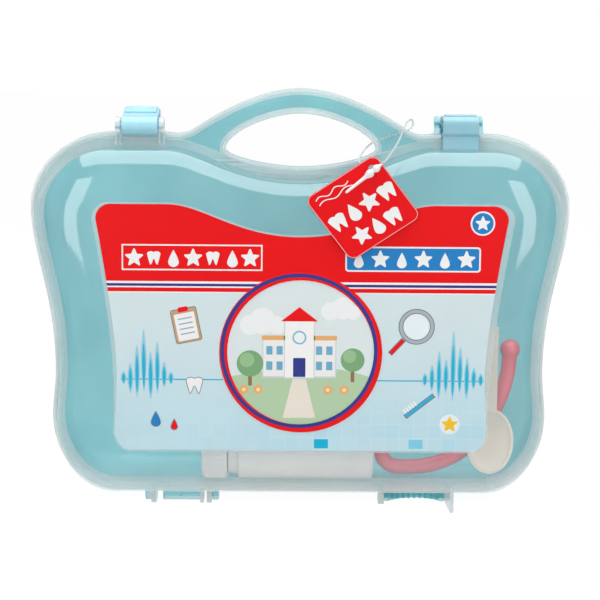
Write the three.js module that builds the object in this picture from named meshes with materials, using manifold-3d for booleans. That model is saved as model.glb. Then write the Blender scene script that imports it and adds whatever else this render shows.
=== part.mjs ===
// Toy doctor's carrying case: two hinged half shells with a grip handle, two snap latches,
// a printed label, a hang tag and the toys that show through the clear plastic.
// Sizes are in millimetres. x runs to the right, y away from the viewer and z up.
import * as THREE from 'three';
import { mergeVertices } from 'three/addons/utils/BufferGeometryUtils.js';
import Module from 'manifold-3d';

const wasm = await Module();
wasm.setup();

// Rim outline: half of the case's greatest width, the other half widths as shares of it,
// and heights above the bottom of the case
const CASE_HALF = 134;
const BASE_SHARE = 0.6866;
const LOWER_SHARE = 0.93;
const LOWER_Z = 39;
const WAIST_SHARE = 0.9164;
const WAIST_Z = 63;
const UPPER_Z = 145;
const SHOULDER_SHARE = 0.694;
const SHOULDER_Z = 182;
const BASE_HALF = CASE_HALF * BASE_SHARE;
const LOWER_HALF = CASE_HALF * LOWER_SHARE;
const WAIST_HALF = CASE_HALF * WAIST_SHARE;
const SHOULDER_HALF = CASE_HALF * SHOULDER_SHARE;

// Handle arch and grip hole, with their half widths as shares of the case's
const NECK_START_SHARE = 0.4925;
const NECK_SHARE = 0.4366;
const NECK_Z = 180.2;
const ARCH_START_SHARE = 0.3918;
const ARCH_START_Z = 184.2;
const CROWN_Z = 204;
const HOLE_SHARE = 0.2784;
const HOLE_END_Z = 174;
const HOLE_TOP_Z = 191.9;
const HOLE_BOTTOM_Z = 165.1;
const NECK_START_X = CASE_HALF * NECK_START_SHARE;
const NECK_X = CASE_HALF * NECK_SHARE;
const ARCH_START_X = CASE_HALF * ARCH_START_SHARE;
const HOLE_HALF = CASE_HALF * HOLE_SHARE;

// Top edge of the dome, which starts where the neck does and dips below the grip hole
const DIP_HALF = NECK_START_X;
const DIP_Z = 163.8;

// How far the curves reach towards the corners that they round
const CIRCLE_SHARE = 0.5523;
const BULGE_SHARE = 0.3;
const SIDE_LOW_SHARE = 0.48;
const SIDE_HIGH_SHARE = 0.29;
const ARCH_LOW_SHARE = 0.55;
const ARCH_CROWN_SHARE = 0.4;
const DIP_OUT_SHARE = 0.27;
const DIP_IN_SHARE = 0.48;
const HOLE_SIDE_SHARE = 0.45;
const HOLE_TOP_SHARE = 0.43;
const HOLE_FLOOR_SHARE = 0.4;

// Half shells
const CLEARANCE = 0.3;
const OVERRUN = 1;
const WALL = 1.3;
const PLATE = 1.6;
const LIP = 1.5;
const RIM_DEPTH = 5.5;
const GROOVE = 0.9;
const STEP = 1.8;
const STEP_DEPTH = 3.4;
const DOME_DEPTH = 35;
const DOME_DRAFT = 2;
const DOME_ROUND = 12;
const FLANGE = LIP + GROOVE + STEP;
const PARTING = CLEARANCE / 2;

// Latches
const LATCH_INSET = 14;
const LATCH_X = SHOULDER_HALF - LATCH_INSET;
const LATCH_WIDTH = 18.5;
const LATCH_PIVOT_DEPTH = 9.5;
const LATCH_PIVOT_RISE = 3.8;
const BARREL_RADIUS = 4.6;
const LATCH_PLATE = 2.6;
const LATCH_TOP_RISE = 11.2;
const CLAW_REACH = 9;
const CLAW_WALL = 2.6;
const CLAW_ROUND = 3;
const TAIL_WALL = 1.5;
const TAIL_DROP = 3.2;
const SHELF = 1.8;
const SHELF_DROP = 0.8;
const GRIP_RIBS = 4;
const GRIP_RIB_SPACING = 2.3;
const GRIP_RIB_WIDTH = 1.1;
const GRIP_RIB_HEIGHT = 0.6;
const LATCH_EAR = 2.4;
const LATCH_EAR_RADIUS = 4.4;
const LATCH_PIN_RADIUS = 1.3;

// Hinges
const HINGE_INSET = 32.5;
const HINGE_X = BASE_HALF - HINGE_INSET;
const EAR_DROP = 6.4;
const HINGE_RADIUS = 2.9;
const HINGE_PIN_RADIUS = 1.1;
const HINGE_AXIS_Z = HINGE_RADIUS - EAR_DROP;
const LUG_REACH = 9;
const LUG_FOOT_REACH = 6.5;
const WIDE_EAR = 3;
const WIDE_EAR_OFFSET = 17.2;
const NARROW_EAR = 2.5;
const NARROW_EAR_OFFSET = WIDE_EAR_OFFSET - (WIDE_EAR + NARROW_EAR) / 2 - CLEARANCE;
const THIRD_EAR = 1.9;
const THIRD_EAR_OFFSET = 10.4;
const BLOCK_START = -9.8;
const BLOCK_END = THIRD_EAR_OFFSET - THIRD_EAR / 2 - CLEARANCE;
const BLOCK_HOLE_RADIUS = 0.8;
const WEB_ARCH = 2;
const WEB_HALF_DEPTH = 1.8;
const WEB_TOP_RISE = 1.9;
const WEB_RIBS = 9;
const WEB_RIB_RADIUS = 0.6;
const FOOT_REACH = 22;
const FOOT_TIP = 1.7;
const FOOT_WIDTH = 3.9;

// Label, with its half widths as shares of the case's
const LABEL_THICKNESS = 0.3;
const LABEL_TOP_Z = 150;
const LABEL_TOP_SHARE = 0.7351;
const LABEL_FLAT_SHARE = 0.4776;
const LABEL_DIP_Z = 134.4;
const LABEL_MID_Z = 66;
const LABEL_MID_SHARE = 0.6642;
const LABEL_LOW_Z = 38;
const LABEL_LOW_SHARE = 0.6716;
const LABEL_BOTTOM_Z = 29.8;
const LABEL_CORNER = 7;
const LABEL_TOP_HALF = CASE_HALF * LABEL_TOP_SHARE;
const LABEL_FLAT_HALF = CASE_HALF * LABEL_FLAT_SHARE;
const LABEL_MID_HALF = CASE_HALF * LABEL_MID_SHARE;
const LABEL_LOW_HALF = CASE_HALF * LABEL_LOW_SHARE;

// Hang tag with its lock and strand
const TAG_X = 30.6;
const TAG_Z = 149.1;
const TAG_WIDTH = 38.5;
const TAG_HEIGHT = 37;
const TAG_CORNER = 4;
const TAG_TURN_DEG = 35.5;
const TAG_THICKNESS = 0.6;
const TAG_STAND_OFF = 1.8;
const TAG_HOLE_X = 34.3;
const TAG_HOLE_Z = 167.8;
const TAG_HOLE_RADIUS = 2;
const LOCK_LENGTH = 21.5;
const LOCK_BULB_RADIUS = 2;
const LOCK_BULB_LENGTH = 7;
const LOCK_STEM_RADIUS = 0.8;
const LOCK_TIP_X = 21.6;
const LOCK_TIP_Z = 156.6;
const LOCK_TURN_DEG = 39;
const LOCK_END_SHARE = 0.4;
const STRAND_RADIUS = 0.4;
const STRAND_SIDES = 8;
const STRAND_STEPS = 72;
const STRAND_ROUTE = [
  [38.6, -40.3, 170.3], [40.6, -39.2, 172.0], [43.4, -34, 175.2], [46.6, -25, 178.8],
  [49.6, -15, 182.2], [52.4, -8.6, 186.0], [55.2, -5.4, 188.4], [57.0, -3.0, 188.3],
  [56.8, -1.2, 186.4], [54.6, -0.55, 184.8], [48, -0.55, 182.28], [41, -0.55, 179.61],
  [36, -0.55, 177.7], [34.2, -1.6, 176.4], [33.0, -5.0, 174.4], [32.0, -9.5, 171.6],
  [31.2, -18, 169.2], [31.2, -28, 168.3], [32.2, -34.2, 167.9], [33.9, -36.2, 167.8],
  [34.3, -37.0, 167.8], [34.3, -37.9, 167.8],
];
const STRAND_GROOVE_START = 9;
const STRAND_GROOVE_END = 12;

// Toys in the case: the spoon and the stethoscope frame at the right end, the bottle beside them
const FRAME_TUBE_RADIUS = 3;
const FRAME_TUBE_SIDES = 10;
const FRAME_TUBE_STEPS = 44;
const FRAME_INSET = 17.1;
const FRAME_BEHIND = 5;
const FRAME_WIDTH = 65;
const FRAME_HEIGHT = 62;
const FRAME_TIP_RADIUS = 4.2;
const FRAME_LEFT_X = LOWER_HALF - FRAME_INSET - FRAME_WIDTH;
const FRAME_ROUTE_SHARES = [
  [0.08, 0.27], [0, 0.12], [0.06, 0.02], [0.24, 0], [0.43, 0.03], [0.58, 0.1], [0.74, 0.24],
  [0.86, 0.43], [0.94, 0.62], [0.985, 0.8], [1, 1],
];
const BOTTLE_RADIUS = 13;
const BOTTLE_NECK_RADIUS = 10.5;
const BOTTLE_NECK = 5;
const BOTTLE_LENGTH = 69;
const BOTTLE_GAP = 1.5;
const BOTTLE_END_X = FRAME_LEFT_X - FRAME_TUBE_RADIUS - BOTTLE_GAP;
const CAP_LENGTH = 13;
const CAP_RADIUS = 13.2;
const BOTTLE_DEPTH = 1.5;
const SPOON_INSET = 27.6;
const SPOON_X = LOWER_HALF - SPOON_INSET;
const SPOON_DEPTH = 7;
const SPOON_BOWL_HALF = 10.5;
const SPOON_BOWL_HEIGHT = 16;
const SPOON_BOWL_DEPTH = 4;
const SPOON_WALL = 1.4;
const SPOON_HANDLE_LENGTH = 50;
const SPOON_HANDLE_WIDTH = 6.5;
const SPOON_HANDLE_THICKNESS = 1.8;

// Faceting
const CORNER_STEPS = 8;
const SHORT_STEPS = 3;
const ROUND_STEPS = 4;
const BARREL_STEPS = 24;
const PIN_STEPS = 16;

const radians = THREE.MathUtils.degToRad;
const point = (x, y) => new THREE.Vector2(x, y);

const MILKY = new THREE.MeshStandardMaterial({
  color: 0xd3dfdf, roughness: 0.35, transparent: true, opacity: 0.55,
});
const BLUE = new THREE.MeshStandardMaterial({
  color: 0x86cfdc, roughness: 0.35, transparent: true, opacity: 0.8,
});
const LATCH_BLUE = new THREE.MeshStandardMaterial({ color: 0x8fd3e4, roughness: 0.35 });
const LABEL_PAPER = new THREE.MeshStandardMaterial({ color: 0xe82022, roughness: 0.4 });
const TAG_CARD = new THREE.MeshStandardMaterial({ color: 0xe20a16, roughness: 0.45 });
const STRAND_CLEAR = new THREE.MeshStandardMaterial({ color: 0xe8eef0, roughness: 0.3 });
const TOY_WHITE = new THREE.MeshStandardMaterial({ color: 0xf3f0ec, roughness: 0.45 });
const TOY_RED = new THREE.MeshStandardMaterial({ color: 0xd8485c, roughness: 0.4 });

// A closed mesh as a solid that can be joined and cut
function solid(geometry) {
  const bare = geometry.clone();
  bare.deleteAttribute('normal');
  bare.deleteAttribute('uv');
  const merged = mergeVertices(bare);
  return new wasm.Manifold(new wasm.Mesh({
    numProp: 3,
    vertProperties: new Float32Array(merged.attributes.position.array),
    triVerts: new Uint32Array(merged.index.array),
  }));
}

function unite(solids) {
  return solids.reduce((whole, piece) => whole.add(piece));
}

function node(name, shape, material) {
  const { vertProperties, triVerts } = shape.getMesh();
  const geometry = new THREE.BufferGeometry();
  geometry.setAttribute('position', new THREE.Float32BufferAttribute(vertProperties, 3));
  geometry.setIndex(Array.from(triVerts));
  geometry.computeVertexNormals();
  const mesh = new THREE.Mesh(geometry, material);
  mesh.name = name;
  return mesh;
}

// Points along a chain of curves, each given with its number of steps
function trace(chain) {
  const points = [];
  for (const [curve, steps] of chain) {
    points.push(...curve.getPoints(steps).slice(0, -1));
  }
  const [last] = chain.at(-1);
  points.push(last.getPoint(1));
  return points;
}

// A full outline from its right half, which runs from bottom centre to top centre
function mirrored(half) {
  const left = half.slice(1, -1).reverse().map((p) => point(-p.x, p.y));
  return [...half, ...left];
}

// The parallel outline at a distance inside a smooth outline that runs anticlockwise
function inset(outline, distance) {
  const count = outline.length;
  return outline.map((p, i) => {
    const before = outline[(i + count - 1) % count];
    const after = outline[(i + 1) % count];
    const inwards = p.clone().sub(before).normalize().add(after.clone().sub(p).normalize());
    inwards.normalize().rotateAround(point(0, 0), Math.PI / 2);
    return p.clone().addScaledVector(inwards, distance);
  });
}

// An outline seen from the front, filled between two depths in front of the parting plane
function slab(outline, near, far, holes = []) {
  const shape = new THREE.Shape(outline);
  shape.holes = holes.map((hole) => new THREE.Path(hole));
  const geometry = new THREE.ExtrudeGeometry(shape, { depth: far - near, bevelEnabled: false });
  geometry.rotateX(Math.PI / 2).translate(0, -near, 0);
  return solid(geometry);
}

// An outline seen from the side, as y and z, filled between two places along x
function sideSlab(outline, left, right) {
  const geometry = new THREE.ExtrudeGeometry(new THREE.Shape(outline), {
    depth: right - left, bevelEnabled: false,
  });
  geometry.rotateX(Math.PI / 2).rotateZ(Math.PI / 2).translate(left, 0, 0);
  return solid(geometry);
}

function block(left, right, front, back, low, high) {
  const geometry = new THREE.BoxGeometry(right - left, back - front, high - low);
  return solid(geometry.translate((left + right) / 2, (front + back) / 2, (low + high) / 2));
}

// A round bar along x
function bar(radius, left, right, y, z, steps = PIN_STEPS) {
  const geometry = new THREE.CylinderGeometry(radius, radius, right - left, steps);
  return solid(geometry.rotateZ(Math.PI / 2).translate((left + right) / 2, y, z));
}

// A closed solid through outlines with equally many points, each at its depth
function loft(outlines, depths) {
  const count = outlines[0].length;
  const positions = outlines.flatMap((outline, i) => outline.flatMap((p) => [p.x, -depths[i], p.y]));
  const front = (outlines.length - 1) * count;
  const index = [];
  for (let ring = 0; ring + 1 < outlines.length; ring += 1) {
    for (let i = 0; i < count; i += 1) {
      const a = ring * count + i;
      const b = ring * count + (i + 1) % count;
      index.push(a, b, b + count, a, b + count, a + count);
    }
  }
  for (const [a, b, c] of THREE.ShapeUtils.triangulateShape(outlines.at(-1), [])) {
    index.push(front + a, front + b, front + c);
  }
  for (const [a, b, c] of THREE.ShapeUtils.triangulateShape(outlines[0], [])) {
    index.push(a, c, b);
  }
  const geometry = new THREE.BufferGeometry();
  geometry.setAttribute('position', new THREE.Float32BufferAttribute(positions, 3));
  geometry.setIndex(index);
  return solid(geometry);
}

// Curve that leaves a level line and arrives upright, rounding a corner
function risingCorner(from, to, share) {
  return new THREE.CubicBezierCurve(
    from,
    point(THREE.MathUtils.lerp(from.x, to.x, share), from.y),
    point(to.x, THREE.MathUtils.lerp(to.y, from.y, share)),
    to,
  );
}

// Curve that leaves upright and arrives on a level line, rounding a corner
function levellingCorner(from, to, share) {
  return new THREE.CubicBezierCurve(
    from,
    point(from.x, THREE.MathUtils.lerp(from.y, to.y, share)),
    point(THREE.MathUtils.lerp(to.x, from.x, share), to.y),
    to,
  );
}

// Curve that is upright at both ends
function uprightSweep(from, to, lowShare, highShare) {
  return new THREE.CubicBezierCurve(
    from,
    point(from.x, THREE.MathUtils.lerp(from.y, to.y, lowShare)),
    point(to.x, THREE.MathUtils.lerp(to.y, from.y, highShare)),
    to,
  );
}

// Bottom, side and shoulder of the case, from bottom centre to the inner end of the shoulder
function sideChain(shoulderEnd) {
  const base = point(BASE_HALF, 0);
  const lower = point(LOWER_HALF, LOWER_Z);
  const waist = point(WAIST_HALF, WAIST_Z);
  const upper = point(CASE_HALF, UPPER_Z);
  const shoulder = point(SHOULDER_HALF, SHOULDER_Z);
  return [
    [new THREE.LineCurve(point(0, 0), base), SHORT_STEPS],
    [risingCorner(base, lower, CIRCLE_SHARE), CORNER_STEPS],
    [uprightSweep(lower, waist, BULGE_SHARE, BULGE_SHARE), SHORT_STEPS],
    [uprightSweep(waist, upper, SIDE_LOW_SHARE, SIDE_HIGH_SHARE), CORNER_STEPS],
    [levellingCorner(upper, shoulder, CIRCLE_SHARE), CORNER_STEPS],
    [new THREE.LineCurve(shoulder, point(shoulderEnd, SHOULDER_Z)), 1],
  ];
}

function rimOutline() {
  const neck = point(NECK_X, NECK_Z);
  const archStart = point(ARCH_START_X, ARCH_START_Z);
  const crown = point(0, CROWN_Z);
  const arch = new THREE.CubicBezierCurve(
    archStart,
    archStart.clone().add(archStart.clone().sub(neck).multiplyScalar(1 + ARCH_LOW_SHARE)),
    point(ARCH_CROWN_SHARE * ARCH_START_X, CROWN_Z),
    crown,
  );
  return mirrored(trace([
    ...sideChain(NECK_START_X),
    [new THREE.QuadraticBezierCurve(point(NECK_START_X, SHOULDER_Z), neck, archStart), SHORT_STEPS],
    [arch, CORNER_STEPS],
  ]));
}

// The rim as it would run without the handle, dipping below the grip hole
function domeGuide() {
  const start = point(DIP_HALF, SHOULDER_Z);
  const dip = new THREE.CubicBezierCurve(
    start,
    point(DIP_HALF * (1 - DIP_OUT_SHARE), SHOULDER_Z),
    point(DIP_HALF * DIP_IN_SHARE, DIP_Z),
    point(0, DIP_Z),
  );
  return mirrored(trace([...sideChain(DIP_HALF), [dip, CORNER_STEPS]]));
}

function gripHole() {
  const end = point(HOLE_HALF, HOLE_END_Z);
  const floor = new THREE.CubicBezierCurve(
    point(0, HOLE_BOTTOM_Z),
    point(HOLE_FLOOR_SHARE * HOLE_HALF, HOLE_BOTTOM_Z),
    point(HOLE_HALF, THREE.MathUtils.lerp(HOLE_END_Z, HOLE_BOTTOM_Z, HOLE_SIDE_SHARE)),
    end,
  );
  const roof = levellingCorner(end, point(0, HOLE_TOP_Z), HOLE_TOP_SHARE);
  return mirrored(trace([[floor, CORNER_STEPS], [roof, CORNER_STEPS]]));
}

// Depths and insets of the dome's outer face, or of its inner face behind the wall
function domeLoft(guide, wall, start) {
  const round = DOME_ROUND - wall;
  const outlines = [inset(guide, FLANGE + wall)];
  const depths = [start];
  for (let step = 0; step <= ROUND_STEPS; step += 1) {
    const angle = (step / ROUND_STEPS) * (Math.PI / 2);
    outlines.push(inset(guide, FLANGE + wall + DOME_DRAFT + round * (1 - Math.cos(angle))));
    depths.push(DOME_DEPTH - DOME_ROUND + round * Math.sin(angle));
  }
  return loft(outlines, depths);
}

// Plate, raised lips and dome of a half shell, without its cavity
function halfBody(guide) {
  const rim = rimOutline();
  const hole = gripHole();
  return unite([
    slab(rim, PARTING, PARTING + PLATE, [hole]),
    slab(rim, PARTING, RIM_DEPTH, [inset(rim, LIP)]),
    slab(inset(hole, -LIP), PARTING, RIM_DEPTH, [hole]),
    slab(inset(guide, FLANGE - STEP), PARTING, STEP_DEPTH),
    domeLoft(guide, 0, PARTING),
  ]);
}

const latchPivot = { y: -LATCH_PIVOT_DEPTH, z: SHOULDER_Z + LATCH_PIVOT_RISE };

// Side outline of a round end about a centre, from one angle to another
function arc(y, z, radius, startDeg, endDeg, steps) {
  return Array.from({ length: steps + 1 }, (unused, i) => {
    const angle = radians(THREE.MathUtils.lerp(startDeg, endDeg, i / steps));
    return point(y + radius * Math.cos(angle), z + radius * Math.sin(angle));
  });
}

// Two ears that carry a latch, on the left shoulder of a half shell
function latchEars() {
  const seat = SHOULDER_Z - FLANGE - WALL;
  const outline = [
    point(-PARTING - CLEARANCE, seat),
    point(-PARTING - CLEARANCE, SHOULDER_Z),
    ...arc(latchPivot.y, latchPivot.z, LATCH_EAR_RADIUS, 0, 180, ROUND_STEPS * 2),
    point(latchPivot.y - LATCH_EAR_RADIUS, seat),
  ];
  const inner = LATCH_WIDTH / 2 + CLEARANCE;
  const left = sideSlab(outline, -LATCH_X - inner - LATCH_EAR, -LATCH_X - inner);
  return left.add(sideSlab(outline, -LATCH_X + inner, -LATCH_X + inner + LATCH_EAR));
}

function latchPinHole() {
  const reach = LATCH_WIDTH / 2 + LATCH_EAR + OVERRUN;
  const radius = LATCH_PIN_RADIUS + CLEARANCE;
  return bar(radius, -LATCH_X - reach, -LATCH_X + reach, latchPivot.y, latchPivot.z);
}

// Gap in the raised lips where a latch turns or hooks over the plate
function latchNotch(centre) {
  const half = LATCH_WIDTH / 2 + CLEARANCE;
  const floor = SHOULDER_Z - FLANGE + CLEARANCE;
  return block(centre - half, centre + half, -RIM_DEPTH - OVERRUN, -PARTING - PLATE,
    floor, SHOULDER_Z + OVERRUN);
}

// Side outline of a hinge lug that hangs from a half shell and reaches round the hinge line
function lugOutline() {
  const seat = FLANGE + WALL;
  const edge = -PARTING - CLEARANCE;
  return [
    point(edge, seat),
    point(-LUG_REACH, seat),
    point(-LUG_REACH, 0),
    point(-LUG_FOOT_REACH, -EAR_DROP),
    ...arc(0, HINGE_AXIS_Z, HINGE_RADIUS, -90, 90, ROUND_STEPS * 2),
    point(edge, HINGE_AXIS_Z + HINGE_RADIUS),
  ].reverse();
}

function lug(centre, width) {
  return sideSlab(lugOutline(), centre - width / 2, centre + width / 2);
}

function hingePin(radius, left, right) {
  return bar(radius, left, right, 0, HINGE_AXIS_Z);
}

// Outer ears with stub pins that face inwards, at the right of a half shell
function wideEars() {
  const stub = NARROW_EAR + CLEARANCE;
  const inner = WIDE_EAR_OFFSET - WIDE_EAR / 2;
  return unite([
    lug(HINGE_X - WIDE_EAR_OFFSET, WIDE_EAR),
    lug(HINGE_X + WIDE_EAR_OFFSET, WIDE_EAR),
    hingePin(HINGE_PIN_RADIUS, HINGE_X - inner - CLEARANCE, HINGE_X - inner + stub),
    hingePin(HINGE_PIN_RADIUS, HINGE_X + inner - stub, HINGE_X + inner + CLEARANCE),
    foot(),
  ]);
}

// Pointed foot that runs forward from the outer ear, flush with its inner side, and helps the case to stand
function foot() {
  const centre = HINGE_X + WIDE_EAR_OFFSET + (FOOT_WIDTH - WIDE_EAR) / 2;
  const sill = FLANGE + DOME_DRAFT;
  const rectangle = (half, top) => [
    point(centre - half, -EAR_DROP),
    point(centre + half, -EAR_DROP),
    point(centre + half, top),
    point(centre - half, top),
  ];
  const wide = rectangle(FOOT_WIDTH / 2, FLANGE + WALL);
  const narrow = rectangle(FOOT_TIP / 2, sill + WALL / 2);
  return loft([wide, narrow], [LUG_FOOT_REACH - OVERRUN, FOOT_REACH]);
}

// Inner ears at the left of a half shell
function narrowEars() {
  return lug(-HINGE_X - NARROW_EAR_OFFSET, NARROW_EAR)
    .add(lug(-HINGE_X + NARROW_EAR_OFFSET, NARROW_EAR));
}

function narrowEarHoles() {
  const reach = NARROW_EAR_OFFSET + NARROW_EAR;
  return hingePin(HINGE_PIN_RADIUS + CLEARANCE, -HINGE_X - reach, -HINGE_X + reach);
}

// Ribbed bar between the back shell's inner ears, with an arched lower edge
function ribbedWeb() {
  const half = NARROW_EAR_OFFSET;
  const top = HINGE_AXIS_Z + WEB_TOP_RISE;
  const ends = CLEARANCE - EAR_DROP;
  const arch = new THREE.QuadraticBezierCurve(
    point(-HINGE_X - half, ends), point(-HINGE_X, ends + 2 * WEB_ARCH), point(-HINGE_X + half, ends),
  );
  const outline = [
    ...arch.getPoints(CORNER_STEPS), point(-HINGE_X + half, top), point(-HINGE_X - half, top),
  ];
  const pieces = [slab(outline, -WEB_HALF_DEPTH, WEB_HALF_DEPTH)];
  for (let rib = 1; rib <= WEB_RIBS; rib += 1) {
    const foot = arch.getPoint(rib / (WEB_RIBS + 1));
    const height = top - foot.y;
    const ridge = new THREE.CylinderGeometry(WEB_RIB_RADIUS, WEB_RIB_RADIUS, height, ROUND_STEPS * 2);
    ridge.rotateX(Math.PI / 2).translate(foot.x, WEB_HALF_DEPTH, foot.y + height / 2);
    pieces.push(solid(ridge));
  }
  return unite(pieces);
}

// The back shell's middle hinge block, seen at the left of the photograph's view
function hingeBlock() {
  const middle = (BLOCK_START + BLOCK_END) / 2;
  const solidBlock = lug(HINGE_X - middle, BLOCK_END - BLOCK_START);
  const drill = new THREE.CylinderGeometry(BLOCK_HOLE_RADIUS, BLOCK_HOLE_RADIUS, LUG_REACH, PIN_STEPS);
  drill.translate(HINGE_X - middle, HINGE_RADIUS, HINGE_AXIS_Z);
  return solidBlock.subtract(solid(drill));
}

// A half shell in its own view, dome towards the viewer
function halfShell(extras, cuts) {
  const guide = domeGuide();
  const body = unite([halfBody(guide), latchEars(), wideEars(), narrowEars(), ...extras]);
  const removed = [
    domeLoft(guide, WALL, -OVERRUN),
    latchPinHole(),
    narrowEarHoles(),
    latchNotch(-LATCH_X),
    latchNotch(LATCH_X),
    ...cuts,
  ];
  return removed.reduce((rest, cut) => rest.subtract(cut), body);
}

// Groove across the handle's right leg, in the parting face, where the tag's strand passes
function strandGroove() {
  const [startX, startY, startZ] = STRAND_ROUTE[STRAND_GROOVE_START];
  const [endX, , endZ] = STRAND_ROUTE[STRAND_GROOVE_END];
  const length = Math.hypot(startX - endX, startZ - endZ) + 2 * OVERRUN;
  const width = 2 * (STRAND_RADIUS + CLEARANCE);
  const depth = OVERRUN - startY + STRAND_RADIUS + CLEARANCE;
  const geometry = new THREE.BoxGeometry(length, depth, width);
  geometry.rotateY(-Math.atan2(startZ - endZ, startX - endX));
  geometry.translate((startX + endX) / 2, OVERRUN - depth / 2, (startZ + endZ) / 2);
  return solid(geometry);
}

// Height of a latch's top face, which climbs from the barrel to the claw
function latchTop(y) {
  const start = latchPivot.z + BARREL_RADIUS;
  const end = SHOULDER_Z + LATCH_TOP_RISE;
  return THREE.MathUtils.mapLinear(y, latchPivot.y, CLAW_REACH - CLAW_ROUND, start, end);
}

// Side outline of the plate that runs over the rim and hooks down behind the other half's plate
function clawOutline() {
  const corner = CLAW_REACH - CLAW_ROUND;
  const inner = CLAW_REACH - CLAW_WALL;
  const tail = PARTING + PLATE + CLEARANCE;
  const shelf = SHOULDER_Z - SHELF_DROP;
  return [
    point(latchPivot.y, latchTop(latchPivot.y) - LATCH_PLATE),
    point(corner - CLAW_WALL / 2, latchTop(corner) - LATCH_PLATE),
    point(inner, latchTop(corner) - CLAW_ROUND - CLAW_WALL / 2),
    point(inner, shelf + SHELF),
    point(tail, shelf + SHELF),
    point(tail, SHOULDER_Z - TAIL_DROP),
    point(tail + TAIL_WALL, SHOULDER_Z - TAIL_DROP),
    point(tail + TAIL_WALL, shelf),
    point(CLAW_REACH, shelf),
    ...arc(corner, latchTop(corner) - CLAW_ROUND, CLAW_ROUND, 0, 90, ROUND_STEPS),
    point(latchPivot.y, latchTop(latchPivot.y)),
  ];
}

// Snap latch on the left shoulder, closed
function latch() {
  const left = -LATCH_X - LATCH_WIDTH / 2;
  const right = -LATCH_X + LATCH_WIDTH / 2;
  const stub = LATCH_EAR + CLEARANCE;
  const pieces = [
    bar(BARREL_RADIUS, left, right, latchPivot.y, latchPivot.z, BARREL_STEPS),
    bar(LATCH_PIN_RADIUS, left - stub, right + stub, latchPivot.y, latchPivot.z),
    sideSlab(clawOutline(), left, right),
  ];
  for (let rib = 0; rib < GRIP_RIBS; rib += 1) {
    const y = CLAW_REACH - CLAW_ROUND - rib * GRIP_RIB_SPACING;
    const top = latchTop(y);
    pieces.push(block(left + GRIP_RIB_WIDTH, right - GRIP_RIB_WIDTH, y - GRIP_RIB_WIDTH / 2,
      y + GRIP_RIB_WIDTH / 2, top - GRIP_RIB_HEIGHT, top + GRIP_RIB_HEIGHT));
  }
  return unite(pieces);
}

function labelOutline() {
  const topCorner = LABEL_TOP_Z - LABEL_CORNER;
  const flat = point(LABEL_FLAT_HALF, LABEL_TOP_Z);
  const dip = new THREE.CubicBezierCurve(
    flat,
    point(LABEL_FLAT_HALF * (1 - DIP_OUT_SHARE), LABEL_TOP_Z),
    point(LABEL_FLAT_HALF * DIP_IN_SHARE, LABEL_DIP_Z),
    point(0, LABEL_DIP_Z),
  );
  const middle = point(LABEL_MID_HALF, LABEL_MID_Z);
  const low = point(LABEL_LOW_HALF, LABEL_LOW_Z);
  const side = new THREE.QuadraticBezierCurve(
    middle,
    point(LABEL_MID_HALF, THREE.MathUtils.lerp(LABEL_MID_Z, topCorner, SIDE_HIGH_SHARE)),
    point(LABEL_TOP_HALF, topCorner),
  );
  return mirrored(trace([
    [risingCorner(point(LABEL_LOW_HALF - LABEL_CORNER, LABEL_BOTTOM_Z), low, CIRCLE_SHARE), ROUND_STEPS],
    [uprightSweep(low, middle, BULGE_SHARE, BULGE_SHARE), SHORT_STEPS],
    [side, CORNER_STEPS],
    [levellingCorner(point(LABEL_TOP_HALF, topCorner), point(LABEL_TOP_HALF - LABEL_CORNER,
      LABEL_TOP_Z), CIRCLE_SHARE), ROUND_STEPS],
    [new THREE.LineCurve(point(LABEL_TOP_HALF - LABEL_CORNER, LABEL_TOP_Z), flat), 1],
    [dip, CORNER_STEPS],
  ]));
}

const labelBack = DOME_DEPTH + CLEARANCE;
const labelFront = labelBack + LABEL_THICKNESS;
const tagBack = labelFront + TAG_STAND_OFF;
const tagFront = tagBack + TAG_THICKNESS;

function label() {
  return slab([point(0, LABEL_BOTTOM_Z), ...labelOutline()], labelBack, labelFront);
}

function hangTag() {
  const halfWidth = TAG_WIDTH / 2 - TAG_CORNER;
  const halfHeight = TAG_HEIGHT / 2 - TAG_CORNER;
  const outline = [
    ...arc(halfWidth, halfHeight, TAG_CORNER, 0, 90, ROUND_STEPS),
    ...arc(-halfWidth, halfHeight, TAG_CORNER, 90, 180, ROUND_STEPS),
    ...arc(-halfWidth, -halfHeight, TAG_CORNER, 180, 270, ROUND_STEPS),
    ...arc(halfWidth, -halfHeight, TAG_CORNER, 270, 360, ROUND_STEPS),
  ].map((p) => p.rotateAround(point(0, 0), radians(TAG_TURN_DEG)).add(point(TAG_X, TAG_Z)));
  const hole = arc(TAG_HOLE_X, TAG_HOLE_Z, TAG_HOLE_RADIUS, 0, 360, PIN_STEPS).slice(1);
  return slab(outline, tagBack, tagFront, [hole]);
}

// Lock of the strand, lying on the tag's face with its bulb in front of the tag's hole
function tagLock() {
  const neck = LOCK_LENGTH - LOCK_BULB_LENGTH;
  const profile = [
    point(0, 0),
    point(LOCK_STEM_RADIUS, LOCK_STEM_RADIUS),
    point(LOCK_STEM_RADIUS, neck - LOCK_BULB_RADIUS),
    point(LOCK_BULB_RADIUS, neck),
    point(LOCK_BULB_RADIUS, LOCK_LENGTH - LOCK_BULB_RADIUS),
    point(LOCK_STEM_RADIUS, LOCK_LENGTH - LOCK_END_SHARE * LOCK_BULB_RADIUS),
    point(LOCK_STEM_RADIUS, LOCK_LENGTH),
    point(0, LOCK_LENGTH),
  ];
  const geometry = new THREE.LatheGeometry(profile, PIN_STEPS);
  geometry.rotateX(Math.PI / 2).rotateY(radians(90 - LOCK_TURN_DEG));
  return solid(geometry.translate(LOCK_TIP_X, -tagFront - CLEARANCE - LOCK_BULB_RADIUS, LOCK_TIP_Z));
}

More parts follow.
